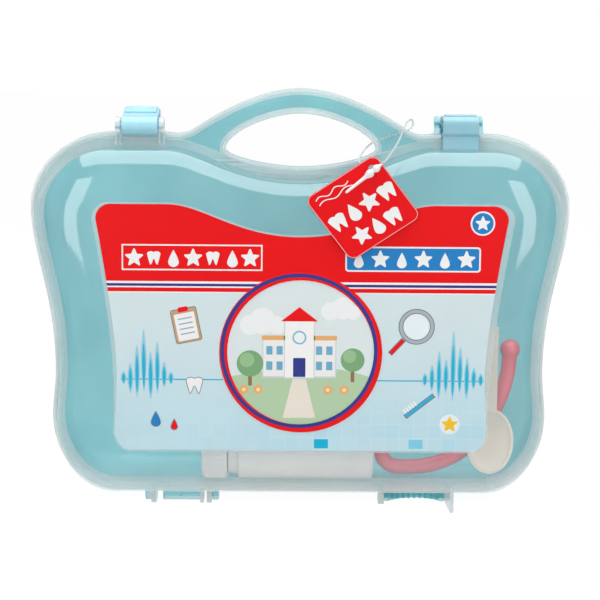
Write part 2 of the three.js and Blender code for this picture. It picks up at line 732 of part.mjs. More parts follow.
// A round bar along a smooth route
function routedBar(route, radius, sides, steps) {
  const section = new THREE.Shape(arc(0, 0, radius, 0, 360, sides).slice(1));
  return solid(new THREE.ExtrudeGeometry(section, {
    steps, extrudePath: new THREE.CatmullRomCurve3(route, false, 'centripetal'), bevelEnabled: false,
  }));
}

function tagStrand() {
  const route = STRAND_ROUTE.map(([x, y, z]) => new THREE.Vector3(x, y, z));
  return routedBar(route, STRAND_RADIUS, STRAND_SIDES, STRAND_STEPS);
}

// Height of the case's inner floor at a distance from the parting plane and a place across it
function floorAt(y, x = 0) {
  const draft = DOME_DRAFT * Math.abs(y) / (DOME_DEPTH - DOME_ROUND);
  const floor = inset(domeGuide(), FLANGE + WALL + draft);
  const next = floor.findIndex((p, i) => i > 0 && p.x > x);
  const [before, after] = [floor[next - 1], floor[next]];
  return THREE.MathUtils.mapLinear(x, before.x, after.x, before.y, after.y);
}

// A turned piece that lies along x, from a profile of radius and place
function turned(profile, y, z) {
  const outline = profile.map(([radius, x]) => point(radius, x));
  const geometry = new THREE.LatheGeometry(outline, BARREL_STEPS);
  return solid(geometry.rotateZ(-Math.PI / 2).translate(0, y, z));
}

const bottleAxisZ = floorAt(BOTTLE_DEPTH) + CLEARANCE + CAP_RADIUS;
const bottleNeckX = BOTTLE_END_X - BOTTLE_LENGTH;
const capX = bottleNeckX - BOTTLE_NECK;

function bottle() {
  const round = WALL;
  return turned([
    [0, capX + CLEARANCE],
    [BOTTLE_NECK_RADIUS, capX + CLEARANCE],
    [BOTTLE_NECK_RADIUS, bottleNeckX],
    [BOTTLE_RADIUS - round, bottleNeckX],
    [BOTTLE_RADIUS, bottleNeckX + round],
    [BOTTLE_RADIUS, BOTTLE_END_X - round],
    [BOTTLE_RADIUS - round, BOTTLE_END_X],
    [0, BOTTLE_END_X],
  ], -BOTTLE_DEPTH, bottleAxisZ);
}

function bottleCap() {
  const round = WALL;
  return turned([
    [0, capX - CAP_LENGTH],
    [CAP_RADIUS - round, capX - CAP_LENGTH],
    [CAP_RADIUS, capX - CAP_LENGTH + round],
    [CAP_RADIUS, capX],
    [0, capX],
  ], -BOTTLE_DEPTH, bottleAxisZ);
}

// Height at which the spoon's bowl rests on the floor, which climbs towards the case's side
function spoonSeat() {
  const seats = Array.from({ length: PIN_STEPS + 1 }, (unused, i) => {
    const acrossShare = THREE.MathUtils.lerp(-1, 1, i / PIN_STEPS);
    const rise = SPOON_BOWL_HEIGHT * (1 - Math.sqrt(1 - acrossShare ** 2));
    return floorAt(SPOON_DEPTH, SPOON_X + acrossShare * SPOON_BOWL_HALF) - rise;
  });
  return Math.max(...seats) + CLEARANCE;
}

function spoon() {
  const bowlZ = spoonSeat() + SPOON_BOWL_HEIGHT;
  const egg = (wall) => {
    const geometry = new THREE.SphereGeometry(1, BARREL_STEPS, PIN_STEPS);
    geometry.scale(SPOON_BOWL_HALF - wall, SPOON_BOWL_DEPTH - wall, SPOON_BOWL_HEIGHT - wall);
    return solid(geometry.translate(SPOON_X, -SPOON_DEPTH, bowlZ));
  };
  const reach = SPOON_BOWL_HALF + OVERRUN;
  const open = block(SPOON_X - reach, SPOON_X + reach, -SPOON_DEPTH - SPOON_BOWL_DEPTH - OVERRUN,
    -SPOON_DEPTH, bowlZ - SPOON_BOWL_HEIGHT - OVERRUN, bowlZ + SPOON_BOWL_HEIGHT + OVERRUN);
  const handleFoot = bowlZ + SPOON_BOWL_HEIGHT - SPOON_WALL - SPOON_WALL;
  const handle = block(SPOON_X - SPOON_HANDLE_WIDTH / 2, SPOON_X + SPOON_HANDLE_WIDTH / 2,
    -SPOON_DEPTH, -SPOON_DEPTH + SPOON_HANDLE_THICKNESS, handleFoot, handleFoot + SPOON_HANDLE_LENGTH);
  return egg(0).subtract(open).add(handle).subtract(egg(SPOON_WALL));
}

// Moulded frame of the toy stethoscope, with its round ear tip
function stethoscopeFrame() {
  const low = floorAt(FRAME_BEHIND + FRAME_TUBE_RADIUS) + CLEARANCE + FRAME_TUBE_RADIUS;
  const route = FRAME_ROUTE_SHARES.map(([acrossShare, upShare]) => new THREE.Vector3(
    FRAME_LEFT_X + acrossShare * FRAME_WIDTH, FRAME_BEHIND, low + upShare * FRAME_HEIGHT,
  ));
  const end = route.at(-1);
  const tip = new THREE.SphereGeometry(FRAME_TIP_RADIUS, PIN_STEPS, PIN_STEPS / 2);
  return routedBar(route, FRAME_TUBE_RADIUS, FRAME_TUBE_SIDES, FRAME_TUBE_STEPS)
    .add(solid(tip.translate(end.x, end.y, end.z)));
}

const thirdEar = lug(-HINGE_X + THIRD_EAR_OFFSET, THIRD_EAR);
const frontCover = node('front_cover', halfShell([thirdEar], [strandGroove()]), MILKY);

const backShell = node('back_shell', halfShell([ribbedWeb(), hingeBlock()], []), BLUE);
backShell.rotation.z = Math.PI;

const latchLeft = node('latch_left', latch(), LATCH_BLUE);
const latchRight = node('latch_right', latch(), LATCH_BLUE);
latchRight.rotation.z = Math.PI;

const doctorCase = new THREE.Group();
doctorCase.add(
  frontCover,
  backShell,
  latchLeft,
  latchRight,
  node('cover_label', label(), LABEL_PAPER),
  node('hang_tag', hangTag(), TAG_CARD),
  node('tag_lock', tagLock(), STRAND_CLEAR),
  node('tag_loop', tagStrand(), STRAND_CLEAR),
  node('bottle', bottle(), TOY_WHITE),
  node('bottle_cap', bottleCap(), TOY_WHITE),
  node('medicine_spoon', spoon(), TOY_WHITE),
  node('stethoscope_frame', stethoscopeFrame(), TOY_RED),
);

// The case stands on its ears, with the middle of its depth over the origin
doctorCase.position.set(0, (labelFront - DOME_DEPTH) / 2, EAR_DROP);

export default doctorCase;
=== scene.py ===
"""Looks of a toy doctor's carrying case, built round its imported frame.

The case is a clam shell of two moulded halves with a grip handle, two snap latches, a printed
label, a hang tag on a beaded strand and a few toys that show through the clear plastic.
Shapes are worked out in millimetres, x to the right, y away from the viewer and z up from the
bottom of the case, and are put into the row frame, in metres, when a piece is finished.
"""
import math
from contextlib import contextmanager

import bmesh
import bpy
from mathutils import Matrix, Vector
from mathutils.geometry import tessellate_polygon
from mathutils.kdtree import KDTree


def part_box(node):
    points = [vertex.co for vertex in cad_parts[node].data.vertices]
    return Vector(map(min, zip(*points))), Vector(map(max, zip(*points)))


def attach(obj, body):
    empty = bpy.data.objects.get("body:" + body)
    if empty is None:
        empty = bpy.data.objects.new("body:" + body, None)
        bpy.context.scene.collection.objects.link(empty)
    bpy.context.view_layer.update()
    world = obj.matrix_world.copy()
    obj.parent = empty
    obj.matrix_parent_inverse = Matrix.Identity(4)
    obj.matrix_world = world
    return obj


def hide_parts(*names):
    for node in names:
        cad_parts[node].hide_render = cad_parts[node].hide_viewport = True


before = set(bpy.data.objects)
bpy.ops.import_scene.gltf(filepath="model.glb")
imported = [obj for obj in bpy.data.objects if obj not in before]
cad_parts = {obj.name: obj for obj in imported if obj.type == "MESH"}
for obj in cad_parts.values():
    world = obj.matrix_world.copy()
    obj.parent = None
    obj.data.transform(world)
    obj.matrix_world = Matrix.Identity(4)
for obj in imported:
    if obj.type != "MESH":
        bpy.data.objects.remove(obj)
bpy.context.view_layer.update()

bl_info = {
    "name": "Toy Doctor Case",
    "version": (1, 0, 0),
    "blender": (4, 5, 0),
    "location": "3D View > Sidebar > Doctor Case",
    "description": "Builds a toy doctor's carrying case and its studio",
    "category": "Object",
}

MM = 0.001
EAR_DROP = 6.4
PARTING_Y = 0.3
INTO_ROW_FRAME = Matrix.Translation((0, PARTING_Y * MM, EAR_DROP * MM)) @ Matrix.Scale(MM, 4)
TURNED_ROUND = Matrix.Rotation(math.pi, 4, "Z")

# Rim outline: half widths and heights
CASE_HALF = 134
BASE_HALF = 0.6866 * CASE_HALF
LOWER_HALF, LOWER_Z = 0.93 * CASE_HALF, 39
WAIST_HALF, WAIST_Z = 0.9164 * CASE_HALF, 63
UPPER_Z = 145
SHOULDER_HALF, SHOULDER_Z = 0.694 * CASE_HALF, 182
NECK_START_X = 0.4925 * CASE_HALF
NECK_X, NECK_Z = 0.4366 * CASE_HALF, 180.2
ARCH_START_X, ARCH_START_Z = 0.3918 * CASE_HALF, 184.2
CROWN_Z = 204
DIP_Z = 166.7
HOLE_HALF, HOLE_END_Z = 0.2784 * CASE_HALF, 174
HOLE_TOP_Z, HOLE_BOTTOM_Z = 191.9, 165.1
ROUND_CORNER = 0.5523

# Half shells
PARTING = 0.15
GROOVE = 0.9
STEP, STEP_DEPTH = 1.8, 3.4
DOME_DRAFT = 0.3
DOME_SPREAD = 2.15
DOME_RINGS = 25
FLANGE_EXTRA, FLANGE_START_Z, FLANGE_FULL_Z = 2.3, 135, 168
LOW_NARROWING, LOW_START_Z, LOW_END_Z = 0.1, 12, 50
LIP_FOOT = 1.6
DOME_START = 6.5
NEAR = 0.05
EAR_SEAT = 5.5
EAR_GAP = 0.3
NOTCH_DROP = 3.9
OVERRUN = 1

# Haze from 0 to 1 in each part of a half shell, where it changes, and the gloss inside the domes
DOME_CENTRE = Vector((0, -10, 95))
FADE_DEPTH, FADE_POWER = 18.5, 0.6
MILKY_FOOT_Z, CLEAR_FOOT_Z = 6, 32
DIP_REACH, WEB_REACH, NOTCH_REACH = 20, 3, 8
COVER_HAZE = {"ear": 0.88, "lip": 0.85, "web": 0.15, "flange": 0.74, "dip": 0.93, "foot": 0.16,
              "step": 0.6, "wall": 0.16, "face": 0.05, "inside": 0.35}
SHELL_HAZE = {"ear": 0.6, "lip": 0.85, "web": 0.85, "flange": 0.8, "dip": 0.8, "foot": 0,
              "step": 0.75, "wall": 0.7, "face": 0.68, "inside": 0.35}

# Latches
LATCH_X = SHOULDER_HALF - 14
LATCH_WIDTH = 18.5
PIVOT_Y, PIVOT_Z = -9.5, SHOULDER_Z + 3.8
BARREL_RADIUS = 4.6
LEFT_LATCH_TOP_Z, RIGHT_LATCH_TOP_Z = SHOULDER_Z + 11.8, SHOULDER_Z + 9.2
CLAW_REACH, CLAW_ROUND, CLAW_WALL = 9, 4.2, 2.6
CLAW_SHELF_Z, CLAW_FOOT_Z, TAIL_FOOT_Z = SHOULDER_Z - 0.8, SHOULDER_Z - 7.2, SHOULDER_Z - 3.2
TAIL_Y, TAIL_WALL = 2.05, 1.5
LATCH_PLATE = 2.6
LATCH_SLACK = 0.4
LATCH_PIN_RADIUS, LATCH_PIN_REACH, LATCH_HOLE_RADIUS = 1.3, 3.1, 1.6
RIDGE_RADIUS, RIDGE_END, RIDGE_SPACING, RIDGE_COUNT = 0.8, 1.5, 2.3, 4
EAR_WIDTH, EAR_RADIUS, EAR_PLAY = 2.4, 4.4, 0.3

# Hinges
HINGE_X = BASE_HALF - 32.5
HINGE_RADIUS = 2.9
HINGE_Z = HINGE_RADIUS - EAR_DROP
WIDE_EAR, WIDE_EAR_OFFSET = 3, 17.2
NARROW_EAR, NARROW_EAR_OFFSET = 2.5, 14.15
THIRD_EAR, THIRD_EAR_OFFSET = 1.9, 10.4
BLOCK_START, BLOCK_END = -9.8, 9.15
LUG_REACH, LUG_TOE = 9, 6.5
HINGE_PIN_RADIUS, HINGE_HOLE_RADIUS, PIN_OVERLAP = 1.1, 1.4, 0.3
FOOT_HALF, FOOT_REACH, FOOT_TIP_HALF, FOOT_TIP_Z = 1.95, 22, 0.85, 6.85
WEB_LOW, WEB_ARCH, WEB_TOP, WEB_HALF_DEPTH = 0.3, 4.3, 1.9, 1.8
WEB_RIBS, WEB_RIB_RADIUS, WEB_RIB_LENGTH = 9, 0.6, 2.8

# Label, hang tag and strand
LABEL_TOP, LABEL_DIP, LABEL_BOTTOM, LABEL_CORNER = 150, 134.4, 28.8, 7
LABEL_BACK, LABEL_FACE = 35.02, 35.3
INK, OUTLINE_WIDTH = 0.05, 0.35
SQUARE = 7
WHITE = (0.88, 0.89, 0.89)
GREY = (0.16, 0.18, 0.21)
RING_CENTRE, PICTURE_RADIUS = (0.1, 78.3), 36.7
BARS_Z = 64.1
LEFT_BARS = [(4, 2.5), (8, 7), (17, 9), (25, 6), (14, 10), (19, 7), (9, 4), (4, 2.5)]
RIGHT_BARS = [(4, 2.5), (8, 5), (15, 9), (11, 6), (25, 10), (17, 6), (12, 9), (7, 4), (4, 2.5)]
TAG_CENTRE = (30.1, 149.2)
TAG_SIZE = (39.8, 38.2)
TAG_TURN = math.radians(35.5)
TAG_STRETCH = (1.03, 0.955)
TAG_BACK, TAG_FACE = 37.45, 37.95
TAG_HOLE, TAG_HOLE_RADIUS = (34.3, 167.8), 2
STRAND_ROUTE = [
    (38.6, -40.3, 170.3), (40.6, -39.2, 172.0), (43.4, -34, 175.2), (46.6, -25, 178.8),
    (49.2, -15, 182.4), (51.2, -8.6, 186.4), (53.2, -5.6, 188.9), (55.0, -3.2, 189.3),
    (55.7, -1.3, 187.2), (54.6, -0.55, 184.8), (48, -0.55, 182.28), (41, -0.55, 179.61),
    (36, -0.55, 177.7), (34.2, -1.6, 176.5), (32.2, -5.0, 175.1), (30.2, -9.5, 173.0),
    (28.7, -18, 170.9), (29.0, -27, 169.5), (31.0, -33.6, 168.5), (33.4, -36.2, 167.9),
    (34.3, -37.0, 167.8), (34.3, -37.9, 167.8),
]
LEG_START, LEG_END = 9, 12
CUT_Y, CUT_HALF_DEPTH, CUT_HALF_HEIGHT = -0.275, 0.975, 0.7
LOCK_TIP, LOCK_TURN = (21.6, 156.6), math.radians(39)

# Stethoscope frame: how much its tube is thicker than the plain one
TUBE_EXTRA = 1.1

# Camera and light
VIEW_POINT = INTO_ROW_FRAME @ Vector((0, 0, 97.9))
VIEW_DISTANCE = 0.9
VIEW_ELEVATION, VIEW_ROLL = math.radians(9.5), math.radians(0.4)
SENSOR_WIDTH, LENS = 36, 107
IMAGE_WIDTH = 600
AMBIENT = 0.28
FLOOR_HALF, FLOOR_GREY = 4, 0.86
FLOOR_GLOW, FLOOR_GLOW_SHARE = 1.12, 0.85


def size_setting(name, description, size):
    """A length that a user may change, given in millimetres."""
    return bpy.props.FloatProperty(name=name, description=description, default=size * MM, unit="LENGTH")


def colour_setting(name, description, tone):
    """A colour that a user may change."""
    return bpy.props.FloatVectorProperty(
        name=name, description=description, default=tone, subtype="COLOR", size=3)


class CaseSizes(bpy.types.PropertyGroup):
    """Sizes of the case that a user may want to change."""

    wall: size_setting("Wall", "Thickness of the domes' walls", 1.3)
    plate: size_setting("Plate", "Thickness of the flat rim and handle plates", 1.6)
    lip: size_setting("Lip", "Width of the raised lips along the rim and the grip hole", 1.5)
    rim_depth: size_setting("Rim Depth", "Depth of the raised lips", 5.5)
    dome_depth: size_setting("Dome Depth", "Depth of each dome", 35)
    dome_round: size_setting("Dome Rounding", "Radius of the dome's front edge", 12)
    edge_round: size_setting("Edge Rounding", "Radius of the small moulded edges", 0.4)
    bead_spacing: size_setting("Bead Spacing", "Distance between the strand's beads", 1.65)
    bead_radius: size_setting("Bead Radius", "Radius of the strand's beads", 0.56)


class CaseColours(bpy.types.PropertyGroup):
    """Colours of the case that a user may want to change."""

    cover: colour_setting("Front Cover", "Milky clear plastic", (0.90, 0.92, 0.91))
    shell: colour_setting("Back Shell", "Clear blue plastic", (0.19, 0.75, 0.80))
    latch: colour_setting("Latches", "Light blue plastic", (0.38, 0.71, 0.83))
    print_red: colour_setting("Print Red", "Red of the label and the tag", (0.84, 0.006, 0.008))
    print_navy: colour_setting("Print Navy", "Dark blue of the label's lines", (0.035, 0.045, 0.25))
    print_blue: colour_setting("Print Blue", "Bright blue of the label's bar and badge", (0.02, 0.22, 0.56))
    print_cyan: colour_setting("Print Cyan", "Cyan of the label's level bars", (0.02, 0.45, 0.66))
    toy_white: colour_setting("Bottle", "White of the bottle and its cap", (0.93, 0.88, 0.85))
    toy_cream: colour_setting("Spoon", "Cream of the spoon", (0.86, 0.78, 0.68))
    toy_red: colour_setting("Stethoscope", "Red of the stethoscope frame", (0.92, 0.19, 0.25))


# Outlines

def bend(points, steps):
    """Points along a Bezier curve with any number of control points, without its last one."""
    made = []
    for step in range(steps):
        level = [Vector(p) for p in points]
        while len(level) > 1:
            level = [a.lerp(b, step / steps) for a, b in zip(level, level[1:])]
        made.append(level[0])
    return made


def mix(a, b, share):
    """The value between two others at a share of the way."""
    return a + (b - a) * share


def smooth(value, low, high):
    """0 below low, 1 above high and smooth between them."""
    share = min(1, max(0, (value - low) / (high - low)))
    return share * share * (3 - 2 * share)


def rising(a, b, share, steps):
    """Leaves a level line and arrives upright."""
    return bend([a, (mix(a[0], b[0], share), a[1]), (b[0], mix(b[1], a[1], share)), b], steps)


def levelling(a, b, share, steps):
    """Leaves upright and arrives on a level line."""
    return bend([a, (a[0], mix(a[1], b[1], share)), (mix(b[0], a[0], share), b[1]), b], steps)


def sweep(a, b, low, high, steps):
    """Upright at both ends."""
    return bend([a, (a[0], mix(a[1], b[1], low)), (b[0], mix(b[1], a[1], high)), b], steps)


def mirrored(half):
    """A full outline from its right half, which runs from bottom centre to top centre."""
    return half + [Vector((-p.x, p.y)) for p in reversed(half[1:-1])]


def side_half():
    """Bottom, side and shoulder of the case."""
    base, lower, waist = (BASE_HALF, 0), (LOWER_HALF, LOWER_Z), (WAIST_HALF, WAIST_Z)
    upper, shoulder = (CASE_HALF, UPPER_Z), (SHOULDER_HALF, SHOULDER_Z)
    return (bend([(0, 0), base], 8) + rising(base, lower, ROUND_CORNER, 20)
            + sweep(lower, waist, 0.3, 0.3, 8) + sweep(waist, upper, 0.48, 0.29, 20)
            + levelling(upper, shoulder, ROUND_CORNER, 20)
            + bend([shoulder, (NECK_START_X, SHOULDER_Z)], 4))


def rim_outline():
    """The outer edge of the case, up over the handle."""
    neck, start, crown = Vector((NECK_X, NECK_Z)), Vector((ARCH_START_X, ARCH_START_Z)), (0, CROWN_Z)
    arch = [start, start + (start - neck) * 1.55, (0.4 * ARCH_START_X, CROWN_Z), crown]
    return mirrored(side_half() + bend([(NECK_START_X, SHOULDER_Z), neck, start], 8)
                    + bend(arch, 24) + [Vector(crown)])


def dome_guide():
    """The rim as it would run without the handle, dipping below the grip hole."""
    dip = [(NECK_START_X, SHOULDER_Z), (0.73 * NECK_START_X, SHOULDER_Z),
           (0.48 * NECK_START_X, DIP_Z), (0, DIP_Z)]
    return mirrored(side_half() + bend(dip, 24) + [Vector((0, DIP_Z))])


def grip_hole():
    """The edge of the hole below the handle."""
    end, low, high = (HOLE_HALF, HOLE_END_Z), (0, HOLE_BOTTOM_Z), (0, HOLE_TOP_Z)
    floor = [low, (0.4 * HOLE_HALF, HOLE_BOTTOM_Z), (HOLE_HALF, mix(HOLE_END_Z, HOLE_BOTTOM_Z, 0.45)), end]
    return mirrored(bend(floor, 20) + levelling(end, high, 0.43, 20) + [Vector(high)])


def label_outline():
    """The edge of the printed film, its top edge dipping in the middle."""
    top, dip_z, foot, corner = LABEL_TOP, LABEL_DIP, LABEL_BOTTOM, LABEL_CORNER
    top_half, flat_half = 0.7351 * CASE_HALF, 0.4776 * CASE_HALF
    low, middle = (0.6716 * CASE_HALF, 38), (0.6642 * CASE_HALF, 66)
    side = [middle, (middle[0], mix(66, top - corner, 0.29)), (top_half, top - corner)]
    dip = [(flat_half, top), (0.73 * flat_half, top), (0.48 * flat_half, dip_z), (0, dip_z)]
    whole = mirrored([Vector((0, foot))] + rising((low[0] - corner, foot), low, ROUND_CORNER, 10)
                     + sweep(low, middle, 0.3, 0.3, 8) + bend(side, 16)
                     + levelling((top_half, top - corner), (top_half - corner, top), ROUND_CORNER, 10)
                     + bend([(top_half - corner, top), (flat_half, top)], 3) + bend(dip, 20)
                     + [Vector((0, dip_z))])
    return [Vector((p.x * 1.02, p.y)) if p.x > 0 else p for p in whole]


def inset(outline, distance):
    """The outline inside one that runs anticlockwise, at a distance or at a function of the height."""
    moved = []
    for i, p in enumerate(outline):
        along = (p - outline[i - 1]).normalized() + (outline[(i + 1) % len(outline)] - p).normalized()
        along.normalize()
        moved.append(p + Vector((-along.y, along.x)) * (distance(p.y) if callable(distance) else distance))
    return moved


def highlight_border_outline():
    """The edge of the clear film round the print, further out beside its upper part; its milky band is a
    painted highlight along the label's sides.
    """
    made = []
    for p in inset(label_outline(), -0.9):
        extra = 2.2 if p.x > 0 else -1.0
        made.append(Vector((p.x + extra * smooth(abs(p.x), 50, 70) * smooth(p.y, 40, 80), p.y)))
    return made


def arc(centre, radius, start, end, steps):
    """Points on a circle from one angle to another, in degrees."""
    turns = [math.radians(mix(start, end, i / steps)) for i in range(steps + 1)]
    return [Vector((centre[0] + radius * math.cos(t), centre[1] + radius * math.sin(t))) for t in turns]


def rounded_box(centre, size, corner, steps=6):
    """Outline of a rectangle with round corners."""
    across, up = size[0] / 2 - corner, size[1] / 2 - corner
    made = []
    for quarter, (side, rise) in enumerate([(1, 1), (-1, 1), (-1, -1), (1, -1)]):
        spot = (centre[0] + side * across, centre[1] + rise * up)
        made += arc(spot, corner, 90 * quarter, 90 * quarter + 90, steps)
    return made


def turned(outline, centre, angle, stretch=(1, 1)):
    """An outline turned about a point, and stretched from there."""
    spin, middle = Matrix.Diagonal(stretch) @ Matrix.Rotation(angle, 2), Vector(centre)
    return [middle + spin @ (Vector(p) - middle) for p in outline]


def on_tag(outline):
    """An upright outline turned and stretched as the hang tag is."""
    return turned(outline, TAG_CENTRE, TAG_TURN, TAG_STRETCH)


# Solids

@contextmanager
def editing(mesh):
    """Lends a mesh out for changes and writes them back."""
    shape = bmesh.new()
    shape.from_mesh(mesh)
    yield shape
    shape.to_mesh(mesh)
    shape.free()


def added(name, data):
    """A new object in the scene."""
    made = bpy.data.objects.new(name, data)
    bpy.context.scene.collection.objects.link(made)
    return made


def plain_box(node):
    """The low and the high corner of a CAD node's box, in the case's millimetres."""
    return [INTO_ROW_FRAME.inverted() @ Vector(corner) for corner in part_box(node)]


def solid(name, points, faces):
    """A closed mesh in millimetres, its faces outwards."""
    mesh = bpy.data.meshes.new(name)
    mesh.from_pydata([tuple(p) for p in points], [], faces)
    with editing(mesh) as shape:
        bmesh.ops.recalc_face_normals(shape, faces=shape.faces)
    return added(name, mesh)


def loft(name, rings, looped=False):
    """A solid through rings of equally many points. A looped one closes on itself, others get caps."""
    count = len(rings[0])
    points = [p for ring in rings for p in ring]
    faces = []
    for ring in range(len(rings) if looped else len(rings) - 1):
        near, far = ring * count, (ring + 1) % len(rings) * count
        faces += [(near + i, near + (i + 1) % count, far + (i + 1) % count, far + i) for i in range(count)]
    for first in [] if looped else [0, (len(rings) - 1) * count]:
        cap = tessellate_polygon([[Vector(p) for p in points[first:first + count]]])
        faces += [tuple(first + i for i in corners) for corners in cap]
    return solid(name, points, faces)


def facing(outline, depth):
    """An outline seen from the front, at a depth in front of the parting plane."""
    return [(p[0], -depth, p[1]) for p in outline]


def slab(name, outline, near, far, round_front=0.0):
    """An outline filled between two depths, its front edge rounded if asked."""
    rings = [facing(outline, near), facing(outline, far - round_front)]
    for angle in (30, 60, 90) if round_front else ():
        back = round_front * (1 - math.cos(math.radians(angle)))
        rings.append(facing(inset(outline, back), far - round_front * (1 - math.sin(math.radians(angle)))))
    return loft(name, rings)


def side_slab(name, outline, left, right, rounding=0.3):
    """An outline seen from the side, as y and z, filled between two places along x."""
    piece = loft(name, [[(x, p[0], p[1]) for p in outline] for x in (left, right)])
    return soften(piece, rounding)


def soften(piece, width):
    """Rounds a solid's sharp edges."""
    if width:
        with editing(piece.data) as shape:
            bmesh.ops.dissolve_limit(shape, angle_limit=0.01, verts=shape.verts, edges=shape.edges)
            sharp = [e for e in shape.edges if e.calc_face_angle(0) > math.radians(35)]
            bmesh.ops.bevel(shape, geom=sharp, offset=width, segments=2, profile=0.5, affect="EDGES",
                            clamp_overlap=True)
            bmesh.ops.triangulate(shape, faces=[f for f in shape.faces if len(f.verts) > 4])
    return piece


def block(name, low, high, rounding=0.0):
    """A box between two corners."""
    corners = [(low[0], low[1]), (high[0], low[1]), (high[0], high[1]), (low[0], high[1])]
    piece = loft(name, [[(x, y, z) for x, y in corners] for z in (low[2], high[2])])
    return soften(piece, rounding)


def lathe(name, profile, start, along, steps=48):
    """A turned solid from radii and distances along an axis that starts at a point."""
    along = Vector(along).normalized()
    side = along.orthogonal().normalized()
    other = along.cross(side)
    turns = [2 * math.pi * i / steps for i in range(steps)]
    rings = []
    for radius, distance in profile:
        middle, reach = Vector(start) + along * distance, max(radius, 0.001)
        rings.append([middle + (side * math.cos(t) + other * math.sin(t)) * reach for t in turns])
    return loft(name, rings)


def bar(name, radius, left, right, y, z, rounding=0.0, steps=32):
    """A round bar along x."""
    ends = [(radius, 0)]
    if rounding:
        ends = [(radius - rounding, 0), (radius - 0.3 * rounding, 0.3 * rounding), (radius, rounding)]
    profile = ends + [(r, right - left - d) for r, d in reversed(ends)]
    return lathe(name, profile, (left, y, z), (1, 0, 0), steps)


def plain_mesh(piece):
    """A piece's mesh with its modifiers worked in, as a mesh of its own."""
    bpy.context.view_layer.update()
    evaluated = piece.evaluated_get(bpy.context.evaluated_depsgraph_get())
    mesh = bpy.data.meshes.new_from_object(evaluated)
    piece.modifiers.clear()
    return mesh


def carve(piece, tools, operation):
    """Joins a solid with others, or cuts them out of it."""
    for tool in tools:
        step = piece.modifiers.new("carve", "BOOLEAN")
        step.operation, step.object, step.solver = operation, tool, "MANIFOLD"
        piece.data = plain_mesh(piece)
        bpy.data.objects.remove(tool)
    return piece


def together(name, pieces):
    """One object out of several solids that stay as they are."""
    mesh = bpy.data.meshes.new(name)
    shape = bmesh.new()
    for piece in pieces:
        shape.from_mesh(piece.data)
    shape.to_mesh(mesh)
    shape.free()
    for piece in pieces:
        bpy.data.objects.remove(piece)
    return added(name, mesh)


def shade(piece, angle):
    """Smooth faces with sharp edges where they meet at more than an angle, and flats kept flat."""
    piece.data.shade_smooth()
    piece.data.set_sharp_from_angle(angle=math.radians(angle))
    flats = piece.modifiers.new("flats", "WEIGHTED_NORMAL")
    flats.keep_sharp = True
    piece.data = plain_mesh(piece)


def place(piece, name, body, slot, finish, *nodes, turn=False, angle=38):
    """Puts a finished solid into the row frame, on its body, in the place of its CAD nodes."""
    piece.data.transform(INTO_ROW_FRAME @ TURNED_ROUND if turn else INTO_ROW_FRAME)
    shade(piece, angle)
    piece.name = piece.data.name = name
    piece.data.materials.clear()
    piece.data.materials.append(finish)
    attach(piece, body)
    if nodes:
        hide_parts(*nodes)
    return piece


# Geometry Nodes

class Growth:
    """A Geometry Nodes tree with named inputs, ending in Realize Instances and Set Material."""

    def __init__(self, name, inputs):
        self.tree = bpy.data.node_groups.new(name, "GeometryNodeTree")
        sockets = {"Geometry": "NodeSocketGeometry", **inputs, "Material": "NodeSocketMaterial"}
        for label, kind in sockets.items():
            self.tree.interface.new_socket(name=label, in_out="INPUT", socket_type=kind)
        self.tree.interface.new_socket(name="Geometry", in_out="OUTPUT", socket_type="NodeSocketGeometry")
        self.start = self.tree.nodes.new("NodeGroupInput")

    def node(self, kind, settings=None, sockets=None):
        made = self.tree.nodes.new(kind)
        for name, value in (settings or {}).items():
            setattr(made, name, value)
        for name, value in (sockets or {}).items():
            if isinstance(value, bpy.types.NodeSocket):
                self.tree.links.new(value, made.inputs[name])
            else:
                made.inputs[name].default_value = value
        return made

    def given(self, name):
        return self.start.outputs[name]

    def end(self, instances):
        real = self.node("GeometryNodeRealizeInstances", None, {"Geometry": instances})
        clad = self.node("GeometryNodeSetMaterial", None, {
            "Geometry": real.outputs[0], "Material": self.given("Material")})
        self.node("NodeGroupOutput", None, {"Geometry": clad.outputs[0]})

    def grow(self, piece, values):
        """Runs the tree on a piece and returns the result as a plain mesh object."""
        step = piece.modifiers.new("growth", "NODES")
        step.node_group = self.tree
        for item in self.tree.interface.items_tree:
            if item.in_out == "INPUT" and item.name in values:
                step[item.identifier] = values[item.name]
        return added(piece.name + "_grown", plain_mesh(piece))


def row_growth():
    """Repeats a solid in a row."""
    tree = Growth("row", {"Count": "NodeSocketInt", "Start": "NodeSocketVector", "Step": "NodeSocketVector"})
    line = tree.node("GeometryNodeMeshLine", {"mode": "OFFSET"}, {
        "Count": tree.given("Count"), "Start Location": tree.given("Start"), "Offset": tree.given("Step")})
    spread = tree.node("GeometryNodeInstanceOnPoints", None, {
        "Points": line.outputs[0], "Instance": tree.given("Geometry")})
    tree.end(spread.outputs[0])
    return tree


def bead_growth():
    """Threads beads on a curve."""
    tree = Growth("beads", {"Spacing": "NodeSocketFloat", "Radius": "NodeSocketFloat"})
    spots = tree.node("GeometryNodeCurveToPoints", {"mode": "LENGTH"}, {
        "Curve": tree.given("Geometry"), "Length": tree.given("Spacing")})
    bead = tree.node("GeometryNodeMeshIcoSphere", None, {"Radius": tree.given("Radius"), "Subdivisions": 2})
    spread = tree.node("GeometryNodeInstanceOnPoints", None, {
        "Points": spots.outputs[0], "Instance": bead.outputs[0]})
    tree.end(spread.outputs[0])
    return tree


